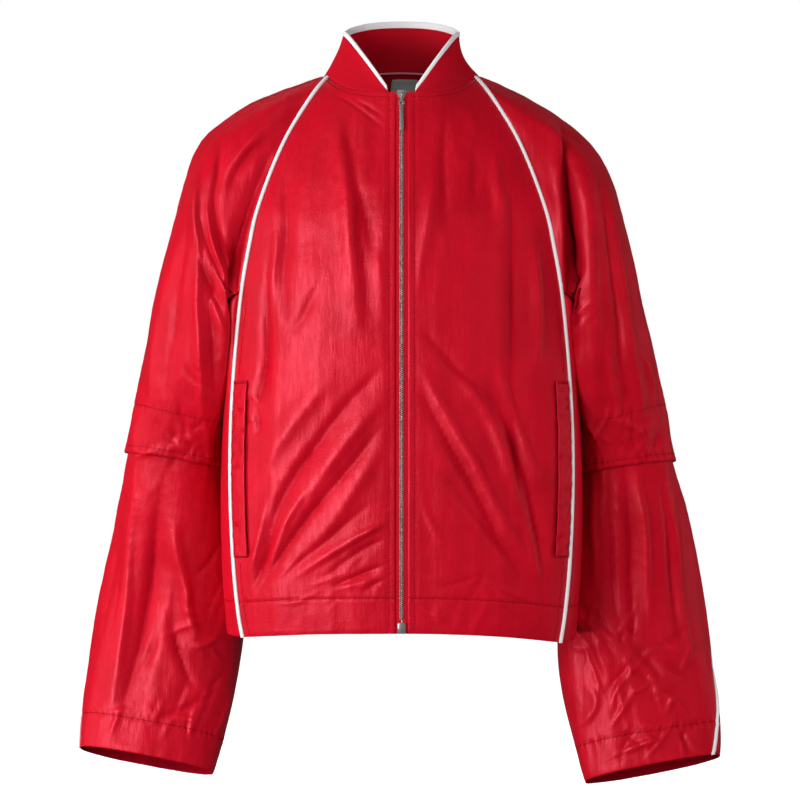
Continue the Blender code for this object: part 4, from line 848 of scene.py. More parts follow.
# a row halfway between each two of a front, which its slanting folds need
def doubleRows(panel):
    for key in ("points", "normals", "fromTop", "fromBottom", "fromFirst", "fromLast"):
        values = panel[key]
        twice = np.repeat(values, 2, axis=0)[:-1]
        twice[1::2] = (values[1:] + values[:-1]) / 2
        panel[key] = twice


# the creases, as bent lines seen from the front: a ridge has a height above zero and a valley one below
frontCreases = (
    # x0, z0, x1, z1, x2, z2, half width, height
    (-74, -55, -54, -189, -51, -299, 13, 5), (-129, -110, -129, -198, -129, -284, 9, -4),
    (-144, -187, -152, -326, -160, -370, 8, -6), (-140, -187, -141, -232, -144, -282, 7, 3),
    (-93, -244, -105, -271, -121, -298, 9, -3), (-49, -134, -36, -178, -21, -222, 9, -4),
    (-20, -161, -20, -222, -20, -285, 8, 3), (-78, -348, -122, -400, -156, -452, 15, 4),
    (-20, -334, -88, -410, -135, -494, 9, -4), (-96, -420, -134, -480, -158, -560, 7, -4),
    (-22, -372, -66, -424, -112, -490, 12, 4), (-104, -470, -128, -508, -142, -556, 5, 3),
    (-22, -398, -60, -446, -106, -500, 6, -4), (-88, -478, -118, -518, -160, -584, 6, -5),
    (-18, -420, -52, -468, -96, -534, 12, 3), (-40, -486, -78, -520, -128, -560, 6, -3),
    (-18, -506, -60, -528, -112, -562, 6, 3), (-14, -524, -46, -536, -84, -566, 4, -3),
    (-13, -500, -30, -512, -52, -524, 3, 2), (-14, -549, -45, -562, -74, -575, 4, -3.5),
    (-14, -566, -30, -572, -46, -583, 3, -2.5), (-60, -80, -46, -185, -44, -290, 6, -4),
    (-38, -150, -27, -200, -20, -255, 3, 2), (-140, -506, -152, -545, -169, -584, 6, -5),
    (-150, -480, -160, -530, -172, -570, 4, 3), (-160, -377, -160, -395, -161, -412, 7, -4),
    (-71, -29, -46, -45, -16, -74, 3, -2), (-49, -35, -33, -45, -16, -60, 3, -2),
    (47, -44, 47, -112, 46, -175, 8, -4), (80, -96, 80, -123, 79, -150, 7, -3),
    (103, -96, 108, -142, 113, -189, 9, 4), (120, -149, 121, -259, 121, -370, 9, -5),
    (121, -370, 129, -459, 139, -548, 8, -4), (148, -187, 150, -259, 150, -331, 9, 6),
    (36, -128, 25, -192, 12, -257, 9, 4), (17, -290, 49, -324, 86, -354, 7, -3),
    (22, -334, 84, -448, 155, -569, 7, 4), (20, -362, 74, -462, 140, -575, 7, -5),
    (66, -344, 112, -425, 150, -560, 8, 5), (90, -350, 128, -430, 158, -540, 7, -5),
    (47, -452, 86, -501, 130, -550, 5, -3), (106, -334, 131, -402, 155, -466, 6, 4),
    (24, -470, 30, -500, 42, -530, 4, 2), (139, -470, 150, -520, 156, -580, 6, -4),
    (-149, -101, -180, -190, -189, -250, 8, -9), (-186, -195, -189, -225, -192, -252, 4, -7),
    (-132, -58, -165, -80, -188, -112, 6, 3), (-140, -75, -172, -98, -192, -135, 6, -4),
    (-226, -112, -229, -150, -231, -190, 6, 3), (-229, -125, -225, -290, -219, -455, 6, 5),
    (-214, -225, -212, -300, -209, -400, 6, -4), (-190, -243, -201, -191, -208, -140, 5, -5),
    (-193, -250, -211, -214, -222, -170, 5, -4), (-196, -240, -209, -200, -216, -150, 4, 3),
    (-217, -247, -205, -272, -195, -300, 5, 3), (-246, -330, -236, -345, -224, -350, 3, -2),
    (-252, -372, -246, -395, -242, -425, 4, -2.5), (-241, -146, -253, -257, -268, -370, 16, -6),
    (-204, -78, -205, -110, -209, -150, 6, -4), (-230, -200, -218, -240, -200, -268, 8, -6),
    (-283, -643, -290, -660, -298, -678, 6, -3), (161, -56, 176, -79, 189, -101, 9, 4),
    (182, -52, 188, -145, 194, -262, 8, -17), (187, -150, 191, -215, 194, -275, 7, -12),
    (175, -92, 180, -170, 184, -236, 5, 3), (202, -120, 212, -213, 218, -385, 13, 5),
    (221, -108, 234, -224, 259, -400, 8, -6), (234, -140, 254, -280, 279, -420, 10, 5),
    (251, -162, 273, -258, 296, -385, 6, -5), (262, -300, 281, -345, 296, -395, 4, 3),
    (228, -300, 240, -350, 246, -398, 4, 3), (270, -447, 280, -531, 288, -623, 7, 6),
    (254, -447, 261, -554, 266, -646, 7, -6), (217, -451, 224, -531, 228, -589, 7, 5),
    (235, -451, 242, -543, 247, -623, 6, -5), (297, -451, 309, -554, 320, -646, 7, -5),
    (311, -485, 326, -600, 332, -669, 6, 4), (204, -606, 223, -641, 242, -675, 4, 4),
    (200, -629, 219, -664, 234, -704, 5, -5), (-305, -458, -320, -606, -331, -716, 9, 5),
    (-275, -470, -297, -610, -318, -715, 13, -7), (-261, -513, -246, -598, -228, -661, 8, 6),
    (-265, -616, -254, -668, -239, -698, 6, -4), (-213, -543, -226, -560, -239, -573, 3, -3),
    (-209, -641, -224, -651, -239, -654, 3, 3), (-212, -704, -246, -722, -280, -734, 3, -3),
    (201, -610, 220, -648, 240, -687, 6, 4), (201, -610, 228, -635, 255, -660, 6, 4),
    (201, -610, 210, -640, 219, -669, 6, 4), (262, -651, 279, -670, 297, -691, 7, -4),
    (303, -672, 316, -683, 330, -693, 6, -3), (310, -735, 322, -755, 334, -774, 6, -3),
    (216, -699, 225, -721, 204, -748, 6, 3),
)
# painted shade, which leaves the cloth's shape alone: where the cloth laps over itself at the armholes and
# hides the light, with how deep in place of the height
armholeShadeLines = (
    (183, -90, 190, -200, 194, -318, 9, 7), (-200, -180, -193, -205, -188, -240, 4, 2.5),
)
backCreases = (
    (-95, -70, -80, -150, -70, -240, 12, -6), (90, -80, 84, -160, 78, -250, 12, -6),
    (-62, -90, -52, -170, -50, -270, 9, 4), (52, -110, 46, -200, 40, -290, 9, 4),
    (-20, -300, -60, -420, -120, -540, 12, -8), (30, -330, 75, -440, 125, -560, 12, -8),
    (-8, -360, -52, -470, -104, -575, 10, 6), (58, -330, 104, -420, 152, -520, 10, 6),
    (-70, -300, -112, -390, -160, -480, 8, -5), (84, -300, 122, -380, 164, -450, 8, -5),
    (14, -430, 52, -510, 96, -585, 8, 4), (-116, -120, -150, -200, -182, -285, 8, -8),
    (114, -120, 150, -205, 184, -285, 8, -8), (-140, -100, -172, -180, -200, -250, 8, 4),
    (138, -100, 170, -180, 200, -250, 8, 4), (-212, -180, -222, -290, -236, -390, 11, 5),
    (214, -180, 226, -290, 238, -390, 11, 5), (-236, -470, -240, -580, -232, -690, 12, -6),
    (240, -480, 246, -590, 238, -700, 12, -6), (-300, -500, -312, -600, -318, -700, 9, -5),
    (306, -500, 318, -600, 324, -700, 9, -5), (10, -120, 4, -240, 8, -350, 13, 4),
    (-140, -280, -130, -380, -138, -480, 11, 4), (136, -260, 140, -350, 136, -450, 11, 4),
    (-236, -140, -248, -240, -262, -350, 14, -6), (232, -150, 246, -240, 262, -340, 14, -6),
    (-280, -480, -290, -580, -288, -680, 14, 5), (282, -480, 292, -580, 290, -680, 14, 5),
)
# the creases on the sides, as bent lines seen from beside the jacket, with y in place of x
sideCreases = (
    (-20, -100, -32, -220, -12, -360, 13, -5), (16, -110, 22, -240, 40, -385, 14, 5),
    (48, -150, 60, -280, 66, -380, 11, -5), (-48, -190, -42, -300, -30, -390, 10, 4),
    (8, -465, 18, -560, -4, -670, 12, -6), (38, -470, 52, -600, 34, -710, 14, 5),
    (66, -490, 80, -600, 66, -700, 11, -5), (-6, -540, 4, -620, -22, -700, 9, 4),
    (-60, -330, -40, -440, -62, -560, 13, -4), (-20, -300, -6, -430, -20, -570, 12, 4),
)
# where the cloth is crumpled: x, z, reach across, reach up and down, height and count of short sharp folds
crumples = (
    (290, -680, 42, 44, 2.6, 20), (232, -650, 30, 44, 1.8, 9),
    (-232, -640, 26, 50, 1.8, 8), (-280, -725, 56, 20, 1.7, 12),
    (-222, -722, 26, 26, 1.8, 7), (-205, -590, 14, 60, 1.3, 6),
    (240, -415, 40, 20, 2.4, 16), (280, -410, 22, 20, 2, 6),
    (300, -765, 60, 22, 1.9, 12), (-60, -575, 70, 26, 1, 7),
    (60, -590, 90, 22, 1.2, 12), (-170, -400, 10, 90, 1.2, 8),
    (-250, -415, 44, 20, 2, 14), (205, -330, 12, 60, 1.2, 6),
)


# the short folds of the crumpled places, in the form of the creases above
def crumpledFolds():
    folds = []
    spin = np.random.default_rng(11)
    for x, z, across, down, size, count in crumples:
        for _ in range(count):
            midX, midZ = x + across * spin.uniform(-1, 1), z + down * spin.uniform(-1, 1)
            angle, half = spin.uniform(0.15, 2.99), spin.uniform(11, 30)
            bend = spin.uniform(-5, 5)
            dx, dz = half * math.cos(angle), half * math.sin(angle)
            height = size * spin.uniform(0.6, 1.3) * (1 if spin.random() < 0.6 else -1)
            bent = (midX - bend * math.sin(angle), midZ + bend * math.cos(angle))
            wide = spin.uniform(2.6, 4.2)
            folds.append((midX - dx, midZ - dz, *bent, midX + dx, midZ + dz, wide, height))
    return tuple(folds)


# gradient noise of the mathutils module at rows of points, each divided by its own reach
def ripple(points, reach, shift=0.0):
    scaled = (points / np.array(reach) + shift).reshape(-1, 3)
    return np.array([noise.noise(p) for p in scaled.tolist()]).reshape(points.shape[:-1])


foldLook = {
    "ridge": 1.9,  # sharpness: 2 would give round folds, and 1 a knife edge along each
    "valley": 1.25,
    "steep": 0.55,  # width of the side away from the light, against the other
    "wander": 3.5,  # mm by which the lines wander from their tables
    "steps": 71,  # points along a line
}


# along a line that starts at one value, passes the next halfway and ends at the last
def bentLine(first, middle, last, t):
    bend = 2 * middle - (first + last) / 2
    return (1 - t) ** 2 * first + 2 * t * (1 - t) * bend + t**2 * last


def creaseHeight(points, table):
    total = np.zeros(len(points))
    wander = foldLook["wander"] * ripple(points, (60, 60, 60), 7.3)
    x, z = points[:, 0] + wander, points[:, 2] + wander
    t = np.linspace(0, 1, foldLook["steps"])
    for *line, halfWidth, height in table:
        insideX, insideZ = (
            (values > min(line[k::2]) - 3 * halfWidth) & (values < max(line[k::2]) + 3 * halfWidth)
            for k, values in enumerate((x, z))
        )
        picked = np.flatnonzero(insideX & insideZ)
        if not len(picked):
            continue
        lineX, lineZ = (bentLine(*line[k::2], t) for k in (0, 1))
        away = np.hypot(x[picked, None] - lineX, z[picked, None] - lineZ)
        nearest = away.argmin(axis=1)
        alongX, alongZ = np.gradient(lineX)[nearest], np.gradient(lineZ)[nearest]
        turned = alongX * (z[picked] - lineZ[nearest]) - alongZ * (x[picked] - lineX[nearest])
        steep = np.where(turned * height > 0, foldLook["steep"], 1)
        fade = np.sin(math.pi * (0.04 + 0.92 * t[nearest])) ** 0.8
        sharpness = foldLook["ridge" if height > 0 else "valley"]
        total[picked] += height * fade * np.exp(-((away.min(axis=1) / (halfWidth * steep)) ** sharpness))
    return total


# sewing, in mm
sewing = {
    "hemBand": 39.5,  # from the hem and from the cuffs to their stitches
    "flapEdge": 9.0,
    "zipEdge": 7.5,
    "collarEdge": 6.0,
    "pipingEdge": 10.0,
    "pitch": 3.4,
    "stitch": 2.4,
    "thread": 0.5,
    "gatherPitch": 7.5,  # between the small gathers along a line of stitches
    "groove": (0.55, 1.9),  # depth and reach of the groove that a line of stitches pulls in
    "seam": (0.75, 2.2),  # and of a seam
}


# the height of cloth beside a line of stitches: a groove, and puckers that run off across it
def puckered(across, along, size, seed, reach):
    uneven = ripple(pointsAt(along / 26.0, across / 24.0, seed), (1, 1, 1))
    waves = np.sin(2 * math.pi * along / sewing["gatherPitch"] + 9 * uneven)
    gathers = 0.45 * waves * np.clip(0.7 + 1.6 * uneven, 0, 1.4)
    deep, wide = sewing["groove"]
    return size * gathers * bell(across, reach) - deep * bell(across, wide)


# the row at which each of a panel's columns is at a distance from its upper or lower edge
def rowsAt(panel, edge, distance):
    rows = np.arange(len(panel[edge]))
    step = 1 if edge == "fromTop" else -1
    return np.array([np.interp(distance, column[::step], rows[::step]) for column in panel[edge].T])


# row at which stitches hold each column of an upper sleeve's flap
def flapLine(panel, name):
    _, _, half, side = name.split("_")
    angles = finer(np.array([upperAngles(8, side, half == "front")]).T, sheetSteps["sleeve"])[:, 0]
    return np.array([flapStitch / flapEnd(a, side) for a in angles]) * (len(panel["points"]) - 1)


# how deep each point lies in a fold, from -6.5 deep in a fold to 1 on a ridge: by its height, and by how
# far it lies below or above the cloth round it; the nylon paints its shade and highlight from this
deepest = -6.5


def foldShade(raised):
    nearby, reach = raised, 3
    for axis in (0, 1):
        pad = [(reach, reach) if k == axis else (0, 0) for k in (0, 1)]
        weight = np.ones(2 * reach + 1) / (2 * reach + 1)
        nearby = np.apply_along_axis(np.convolve, axis, np.pad(nearby, pad, "edge"), weight, "valid")
    depth = np.where(raised > 0, 0.05, 0.12) * np.minimum(raised, 2) + 0.4 * (raised - nearby)
    return np.clip(np.where(depth < -1, 2.2 * depth + 1.2, depth), deepest, 1)


cloth = {
    # the long soft folds of hanging cloth: height, reach across, reach down, shift of the noise, creased
    "drape": (
        (1.2, 44, 420, 0.0, True),
        (0.6, 26, 330, 6.1, False),
        (0.4, 14, 160, 3.1, True),
        (0.22, 6, 70, 5.7, False),
    ),
    "crinkle": 0.3,
    "sleeveTurn": 0.15,  # the sleeves' folds lean outwards by this much of their height
    "facing": 1.6,  # how sharply the creases of one side end where the cloth turns away
    "rightSides": 16.0,  # mm by which the creases beside the jacket lie lower on the right
    "gathers": {"sleeve": 1.5, "body": 0.8, "flap": 1.8, "flapStitch": 1.2, "zip": 0.35},  # mm
    "flapLift": (0.9, 12),  # height and reach
    "swell": 9.0,  # mm by which the side's cloth stands out beside its piping, under the arm
    "pocket": (1.8, 6),  # depth and half width of the hollow beside a welt
    # how strongly the puckers add painted shade and highlight to the nylon
    "gatherShade": 1.2,
}


# the slow folds and fine crinkles of loose cloth
def drapeHeight(flat, sleeve):
    slant = flat.copy()
    slant[:, 0] += cloth["sleeveTurn"] * sleeve * np.sign(flat[:, 0]) * flat[:, 2]
    total = 0
    for height, across, down, shift, creased in cloth["drape"]:
        wave = ripple(slant, (across, across, down), shift)
        total = total + height * (0.5 - 2 * np.abs(wave) if creased else wave)
    crinkle = 1 - 2 * np.abs(ripple(flat, (24, 24, 24), 1.7)) - np.abs(ripple(flat, (12, 12, 12), 9.2))
    return total + cloth["crinkle"] * crinkle


# raises or lowers each panel's cloth into its creases, grooves and puckers
def shapePanels():
    lines = frontCreases + crumpledFolds()
    size = cloth["gathers"]
    for name, panel in panels.items():
        points, normals, fromTop = panel["points"], panel["normals"], panel["fromTop"]
        sleeve, upper = name.startswith("sleeve"), name.startswith("sleeve_upper")
        flat, shape = points.reshape(-1, 3), points.shape[:2]
        facing = cloth["facing"] * normals[..., 1].reshape(-1)
        held = rise(fromTop.reshape(-1) - 1, 9) if upper else flatBeside(flat)
        raised = creaseHeight(flat, lines) * np.clip(-facing, 0, 1) * held
        raised += creaseHeight(flat, backCreases) * np.clip(facing, 0, 1)
        if sleeve:
            outward = np.sign(flat[:, 0]) * normals[..., 0].reshape(-1) - 0.3
            beside = flat[:, [1, 0, 2]] + np.array([0, 0, cloth["rightSides"] * name.endswith("right")])
            raised += creaseHeight(beside, sideCreases) * np.clip(cloth["facing"] * outward, 0, 1) * held
        raised += (0.25 + 0.75 * held) * drapeHeight(flat, sleeve)
        raised = raised.reshape(shape)
        if upper:  # the collar holds the cloth flat, but not beyond the neck's own columns
            columns, step = np.arange(shape[1]), sheetSteps["sleeve"]
            beyond = rise(columns - neckSteps * step, 1.5 * step)
            raised = raised * (rise(fromTop, 14) + (1 - rise(fromTop, 14)) * beyond)
        elif name.startswith(("front", "back")):
            raised = raised * rise(fromTop, 14)
        for away in panel["sewn"]:
            raised -= sewing["seam"][0] * bell(panel[away], sewing["seam"][1])
        seed = float(sum(map(ord, name)) % 97)
        fromBottom, fromFirst = panel["fromBottom"], panel["fromFirst"]
        if upper:
            gathered = puckered(fromBottom - sewing["flapEdge"], fromFirst, size["flap"], seed, 6)
            rows = zip(flapLine(panel, name), fromTop.T)
            line = np.array([np.interp(row, np.arange(shape[0]), column) for row, column in rows])
            gathered += puckered(fromTop - line, fromFirst, size["flapStitch"], seed + 3, 9)
            raised += gathered + cloth["flapLift"][0] * bell(fromBottom, cloth["flapLift"][1])
        else:
            band = fromBottom - sewing["hemBand"]
            gathered = puckered(band, fromFirst, size["sleeve" if sleeve else "body"], seed, 7)
            raised += gathered - 0.5 * bell(fromBottom, 3)
        if name.startswith("side"):
            firstIsFront = points[:, 0, 1].mean() < points[:, -1, 1].mean()
            ahead = fromFirst if firstIsFront else panel["fromLast"]
            swell = (1 - bell(ahead, 4)) * bell(ahead, 18)
            raised += cloth["swell"] * swell * (1 - bell(fromTop, 5)) * bell(fromTop, 110)
        if name.startswith("front"):
            raised += puckered(fromFirst - sewing["zipEdge"], fromTop, size["zip"], seed + 5, 6)
            beside = panel["fromLast"] - (weltFrom + weltTo) / 2 - 6
            inPocket = rise(weltTop - points[..., 2], 6) * rise(points[..., 2] - weltBottom, 6)
            raised -= cloth["pocket"][0] * bell(beside, cloth["pocket"][1]) * inPocket
        panel["surface"] = points + raised[..., None] * normals
        # painted shade along the laps at the armholes, and painted shade and highlight along the puckers,
        # are added to that of the folds
        armholeShade = creaseHeight(flat, armholeShadeLines).reshape(shape)
        panel["fold"] = np.maximum(foldShade(raised) + cloth["gatherShade"] * gathered - armholeShade, deepest)


# takes the top of each lower sleeve inside the flap
def tuckLowerSleeves():
    for name, panel in panels.items():
        if name.startswith("sleeve_lower"):
            length = np.linspace(flapStitch, cuffRing, len(panel["surface"]))
            depth = flapClear * rise(9.6 - length, 0.8)
            panel["surface"] = panel["surface"] - panel["normals"] * depth[:, None, None]


cutPanels()
joinSeams()
for side in sides:
    doubleRows(panels[f"front_{side}"])
shapePanels()
tuckLowerSleeves()
for panel in panels.values():
    panel["facing"] = gridNormals(panel["surface"]) * panel["flip"]
print("cloth shaped")


def deselectAll():
    if bpy.context.object and bpy.context.object.mode != "OBJECT":
        bpy.ops.object.mode_set(mode="OBJECT")
    bpy.ops.object.select_all(action="DESELECT")


def selectOnly(piece):
    deselectAll()
    piece.select_set(True)
    bpy.context.view_layer.objects.active = piece


# a new object in the scene, at the origin
def newPiece(name, mesh, finish):
    made = bpy.data.objects.new(name, mesh)
    bpy.context.scene.collection.objects.link(made)
    made.data.materials.clear()
    made.data.materials.append(materials[finish])
    return made


# what carries a piece, and the solid it stands for, which is hidden
def placeInPart(piece, node=None, body="jacket"):
    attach(piece, body)
    if node:
        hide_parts(node)


def applyModifiers(piece):
    selectOnly(piece)
    for step in list(piece.modifiers):
        bpy.ops.object.modifier_apply(modifier=step.name)


# a mesh of rows of points in millimetres; its UV map is in metres across and along them
def meshOf(name, points, faces, across, along):
    mesh = bpy.data.meshes.new(name)
    mesh.from_pydata((points.reshape(-1, 3) * mm).tolist(), [], faces)
    places = np.stack(np.broadcast_arrays(across, along), axis=-1).reshape(-1, 2) * mm
    layer = mesh.uv_layers.new(name="UVMap")
    corners = np.zeros(len(mesh.loops), dtype=np.int32)
    mesh.loops.foreach_get("vertex_index", corners)
    layer.data.foreach_set("uv", places[corners].astype(np.float32).reshape(-1))
    return mesh


# a grid of points as a sheet of cloth: its outer face, then a wall inwards
def sheetPiece(name, points, flip, wall, finish, slot, node, held="hung", fold=None, **rests):
    rows, columns = points.shape[:2]
    at = np.arange(rows * columns).reshape(rows, columns)
    quads = np.stack([at[:-1, :-1], at[:-1, 1:], at[1:, 1:], at[1:, :-1]], axis=-1).reshape(-1, 4)
    if flip < 0:
        quads = quads[:, ::-1]
    mesh = meshOf(name, points, quads.tolist(), lengthAlong(points, 1), -lengthAlong(points, 0))
    # the painted shade and highlight of each point, which the nylon reads
    if fold is not None:
        folds = mesh.attributes.new("fold", "FLOAT", "POINT")
        folds.data.foreach_set("value", fold.reshape(-1).astype(np.float32))
    mesh.shade_smooth()
    piece = newPiece(name, mesh, finish)
    step = piece.modifiers.new("Wall", "SOLIDIFY")
    step.thickness = wall * mm
    step.offset = -1.0
    # the inner face takes the reverse, in painted shade
    if finish == "shell":
        piece.data.materials.append(materials["reverse"])
        step.material_offset = 1
    applyModifiers(piece)
    placeInPart(piece, node)


# a closed bar through sections of equal count, with flat ends
def barPiece(name, sections, finish, node=None):
    rows, around = sections.shape[:2]
    faces = [list(range(around)), [(rows - 1) * around + k for k in reversed(range(around))]]
    for i in range(rows - 1):
        for j in range(around):
            k = (j + 1) % around
            faces.append([i * around + j, (i + 1) * around + j, (i + 1) * around + k, i * around + k])
    along = lengthAlong(sections.mean(axis=1, keepdims=True), 0)
    piece = newPiece(name, meshOf(name, sections, faces, lengthAlong(sections, 1), along), finish)
    selectOnly(piece)
    bpy.ops.object.mode_set(mode="EDIT")
    bpy.ops.mesh.select_all(action="SELECT")
    bpy.ops.mesh.normals_make_consistent(inside=False)
    bpy.ops.object.mode_set(mode="OBJECT")
    bpy.ops.object.shade_smooth_by_angle(angle=math.radians(50))
    placeInPart(piece, node)


# sections round a line of points: one oval each, spread along two directions
def ovalSections(points, first, c, second, s):
    return points[:, None] + first[:, None] * c[..., None] + second[:, None] * s[..., None]


def makeShell():
    for name, panel in panels.items():
        flip, fold = panel["flip"], panel["fold"]
        sheetPiece(name + "_cloth", panel["surface"], flip, shellWall, "shell", "shell", name, fold=fold)


makeShell()
print("shell made")


# values of a grid at pairs of fractional rows and columns
def sample(values, rows, columns):
    rows, columns = np.broadcast_arrays(np.asarray(rows, float), np.asarray(columns, float))
    i = np.clip(rows.astype(int), 0, values.shape[0] - 2)
    j = np.clip(columns.astype(int), 0, values.shape[1] - 2)
    fi, fj = (rows - i)[..., None], (columns - j)[..., None]
    top = values[i, j] * (1 - fj) + values[i, j + 1] * fj
    return top * (1 - fi) + (values[i + 1, j] * (1 - fj) + values[i + 1, j + 1] * fj) * fi


# the part of a grid of directions that is square to another
def squareTo(directions, to):
    return unit(directions - (directions * to).sum(-1, keepdims=True) * to)


# piping: a cord in a folded bias strip, which stands half proud of its seam; it lies flatter high up on the
# lower sleeves, where the seam runs along their edge
piping = {"half": 2.4, "high": 2.5, "low": -0.9, "points": 14, "flat": 0.15, "flatTo": (672.0, 706.0)}


def makePiping(name, points, up, ahead, behind, high):
    across = unit(unit(ahead) - unit(behind))
    c, s = oval(np.linspace(0, 2 * math.pi, piping["points"], endpoint=False), 2.2)
    high = np.broadcast_to(high, len(points))[:, None]
    middle, tall = (high + piping["low"]) / 2, (high - piping["low"]) / 2
    sections = ovalSections(points, across, piping["half"] * c, squareTo(up, across), middle + tall * s)
    barPiece(f"{name}_tape", sections, "trim", name)
    print(f"{name}: {lengthAlong(points[:, None], 0)[-1, 0] * mm:.3f} m of piping")


def makeFrontPiping(name):
    front, side, sleeve = (panels[f"{part}_{name}"] for part in ("front", "side", "sleeve_upper_front"))
    points, normals = front["points"][::2, -1], front["normals"][::2, -1]
    first = neckSteps * sheetSteps["sleeve"]
    raglan = np.s_[first : first + (len(raglanFront) - 1) * sheetSteps["rows"] + 1]
    upper = sleeve["points"][2, raglan] - sleeve["points"][0, raglan]
    lower = side["points"][1:, 2] - side["points"][1:, 0]
    behind = np.pad(np.concatenate([upper, lower]), ((4, 4), (0, 0)), "edge")
    behind = np.stack([np.convolve(column, np.ones(9) / 9, "valid") for column in behind.T], axis=-1)
    ahead = front["points"][::2, -3] - points
    makePiping(f"piping_front_{name}", points, normals, ahead, behind, piping["high"])


def makeSleevePiping(name):
    start = int(1.4 * sheetSteps["lowerRows"])  # a little way up under the flap
    front, back = (panels[f"sleeve_lower_{half}_{name}"] for half in ("front", "back"))
    points, normals = (front["surface"] + 0.75 * front["normals"])[start:, 0], front["normals"][start:, 0]
    ahead, behind = (half["points"][start:, 2] - half["points"][start:, 0] for half in (front, back))
    high = np.interp(-points[:, 2], piping["flatTo"], (piping["flat"], piping["high"]))
    makePiping(f"piping_sleeve_{name}", points, normals, ahead, behind, high)


for name in sides:
    makeFrontPiping(name)
    makeSleevePiping(name)
print("piping made")


# the rib collar and the tape that binds its edge; the inner half of the tape reaches further down
collarLook = {"wall": 2.2, "bindingUp": 3.15, "bindingOut": 1.75, "bindingSink": -1.2, "bindingInside": 3.5}


def makeCollar():
    collar, binding = collarGrids()
    halves = finerSheet(collar, 5, sheetSteps["collar"])
    normals = gridNormals(halves)
    flip = outwardSign(halves, normals, (0, -8))
    normals = normals * flip
    soft = 0.5 * ripple(halves, (26, 26, 26), 2.2)
    edge = np.minimum(lengthAlong(halves, 0), lengthAlong(halves, 0)[-1:] - lengthAlong(halves, 0))
    halves = halves + normals * (soft * rise(edge, 8))[..., None]
    halves[0] -= normals[0] * 0.3
    sheetPiece("collar_rib", halves, flip, collarLook["wall"], "rib", "rib", "collar", "stretched")

    low, high = finerSheet(binding, 1, sheetSteps["collar"])
    outward = gridNormals(finerSheet(binding, 2, sheetSteps["collar"]))[1] * flip
    up = unit(high - low)
    outward = squareTo(outward, up)
    c, s = oval(np.linspace(0, 2 * math.pi, 16, endpoint=False), 2.8)
    middle = (low + high) / 2 + outward * collarLook["bindingSink"]
    down = collarLook["bindingInside"] * np.clip(-s, 0, 1) * np.clip(-c, 0, 1)
    tall, deep = collarLook["bindingUp"] * c - down, collarLook["bindingOut"] * s
    sections = ovalSections(middle, up, tall, outward, deep)
    barPiece("collar_binding_tape", sections, "trim", "collar_binding")


makeCollar()
print("collar made")


# pocket welts: folded strips that stand a little off the fronts, open on the edge near the zip
welt = {"off": 0.5, "openEdge": 0.6, "wall": 1.3}


def rowAtHeight(column, height):
    return float(np.interp(-height, -column[:, 2], np.arange(len(column))))


def weltGrid(name):
    panel = panels[f"front_{name}"]
    seam = panel["points"][:, -1]
    rows = np.linspace(rowAtHeight(seam, weltTop), rowAtHeight(seam, weltBottom), 84)
    last = panel["points"].shape[1] - 1
    away = np.linspace(weltTo, weltFrom, 11)
    columns = last - np.interp(away, panel["fromLast"][int(rows.mean())][::-1], np.arange(last + 1))
    grid, normals = (sample(panel[key], rows[:, None], columns) for key in ("points", "normals"))
    normals = unit(normals)
    creased = 1.1 * ripple(grid, (14, 14, 9), 4.4) + 1.2 * (0.4 - np.abs(ripple(grid, (11, 11, 8), 8.8)))
    creased += 0.6 * ripple(grid, (5, 5, 4), 2.8)
    share = (away - weltFrom) / (weltTo - weltFrom)
    high = welt["wall"] + welt["off"] + welt["openEdge"] * share**2 + creased
    # painted shade: the welt's wrinkles are darkened beyond what their height gives, and lightened on their
    # ridges as painted highlight
    shade = np.clip(foldShade(2 * creased) + 1.8 * np.minimum(creased + 0.1, 0), -3, 1)
    return grid + normals * high[..., None], normals, panel["flip"], shade


def makeWelt(name):
    grid, _, flip, fold = weltGrid(name)
    node, rests = f"pocket_welt_{name}", [f"front_{name}_cloth"]
    sheetPiece(node + "_cloth", grid, flip, welt["wall"], "shell", "shell", node, fold=fold, rests_on=rests)


for name in sides:
    makeWelt(name)
print("welts made")


# the zip: tapes behind the fronts' edges, teeth between them, and its hardware; in mm
zipParts = {
    "tapeDeep": 0.7,
    "tapeFrom": 0.3,
    "tapeTo": 14.0,
    "tapeWall": 0.8,
    "toothPitch": 2.3,
    "toothSize": (3.1, 1.25, 2.0),
    "toothBevel": 0.3,
    "toothAside": 0.95,  # each tooth's middle stands this far to its own side
    "toothOut": -0.1,
    "chain": (38.6, 613.0),  # below the origin
}


# points and directions outwards on the middle line between the fronts' edges
def zipLine():
    fronts = [panels[f"front_{name}"] for name in sides]
    points = (fronts[0]["surface"][:, 0] + fronts[1]["surface"][:, 0]) / 2 * np.array([0, 1, 1])
    return points, unit((fronts[0]["facing"][:, 1] + fronts[1]["facing"][:, 1]) * np.array([0, 1, 1]))


def makeTapes():
    points, outward = zipLine()
    across = np.linspace(zipParts["tapeFrom"], zipParts["tapeTo"], 7)
    for name, side in sides.items():
        panel = panels[f"front_{name}"]
        grid = np.repeat((points - outward * zipParts["tapeDeep"])[1:, None], len(across), axis=1)
        grid[..., 0] = side * across
        for k, x in enumerate(across):
            if x > zipEdge:  # behind the front, the tape follows the cloth
                depth = [np.interp(x, np.abs(row[:, 0]), row[:, 1]) for row in panel["surface"][1:, :12]]
                grid[:, k, 1] = np.array(depth) - outward[1:, 1] * (shellWall + 0.5)
        label = f"zip_tape_{name}"
        sheetPiece(label + "_cloth", grid, panel["flip"], zipParts["tapeWall"], "tape", "tape", label)


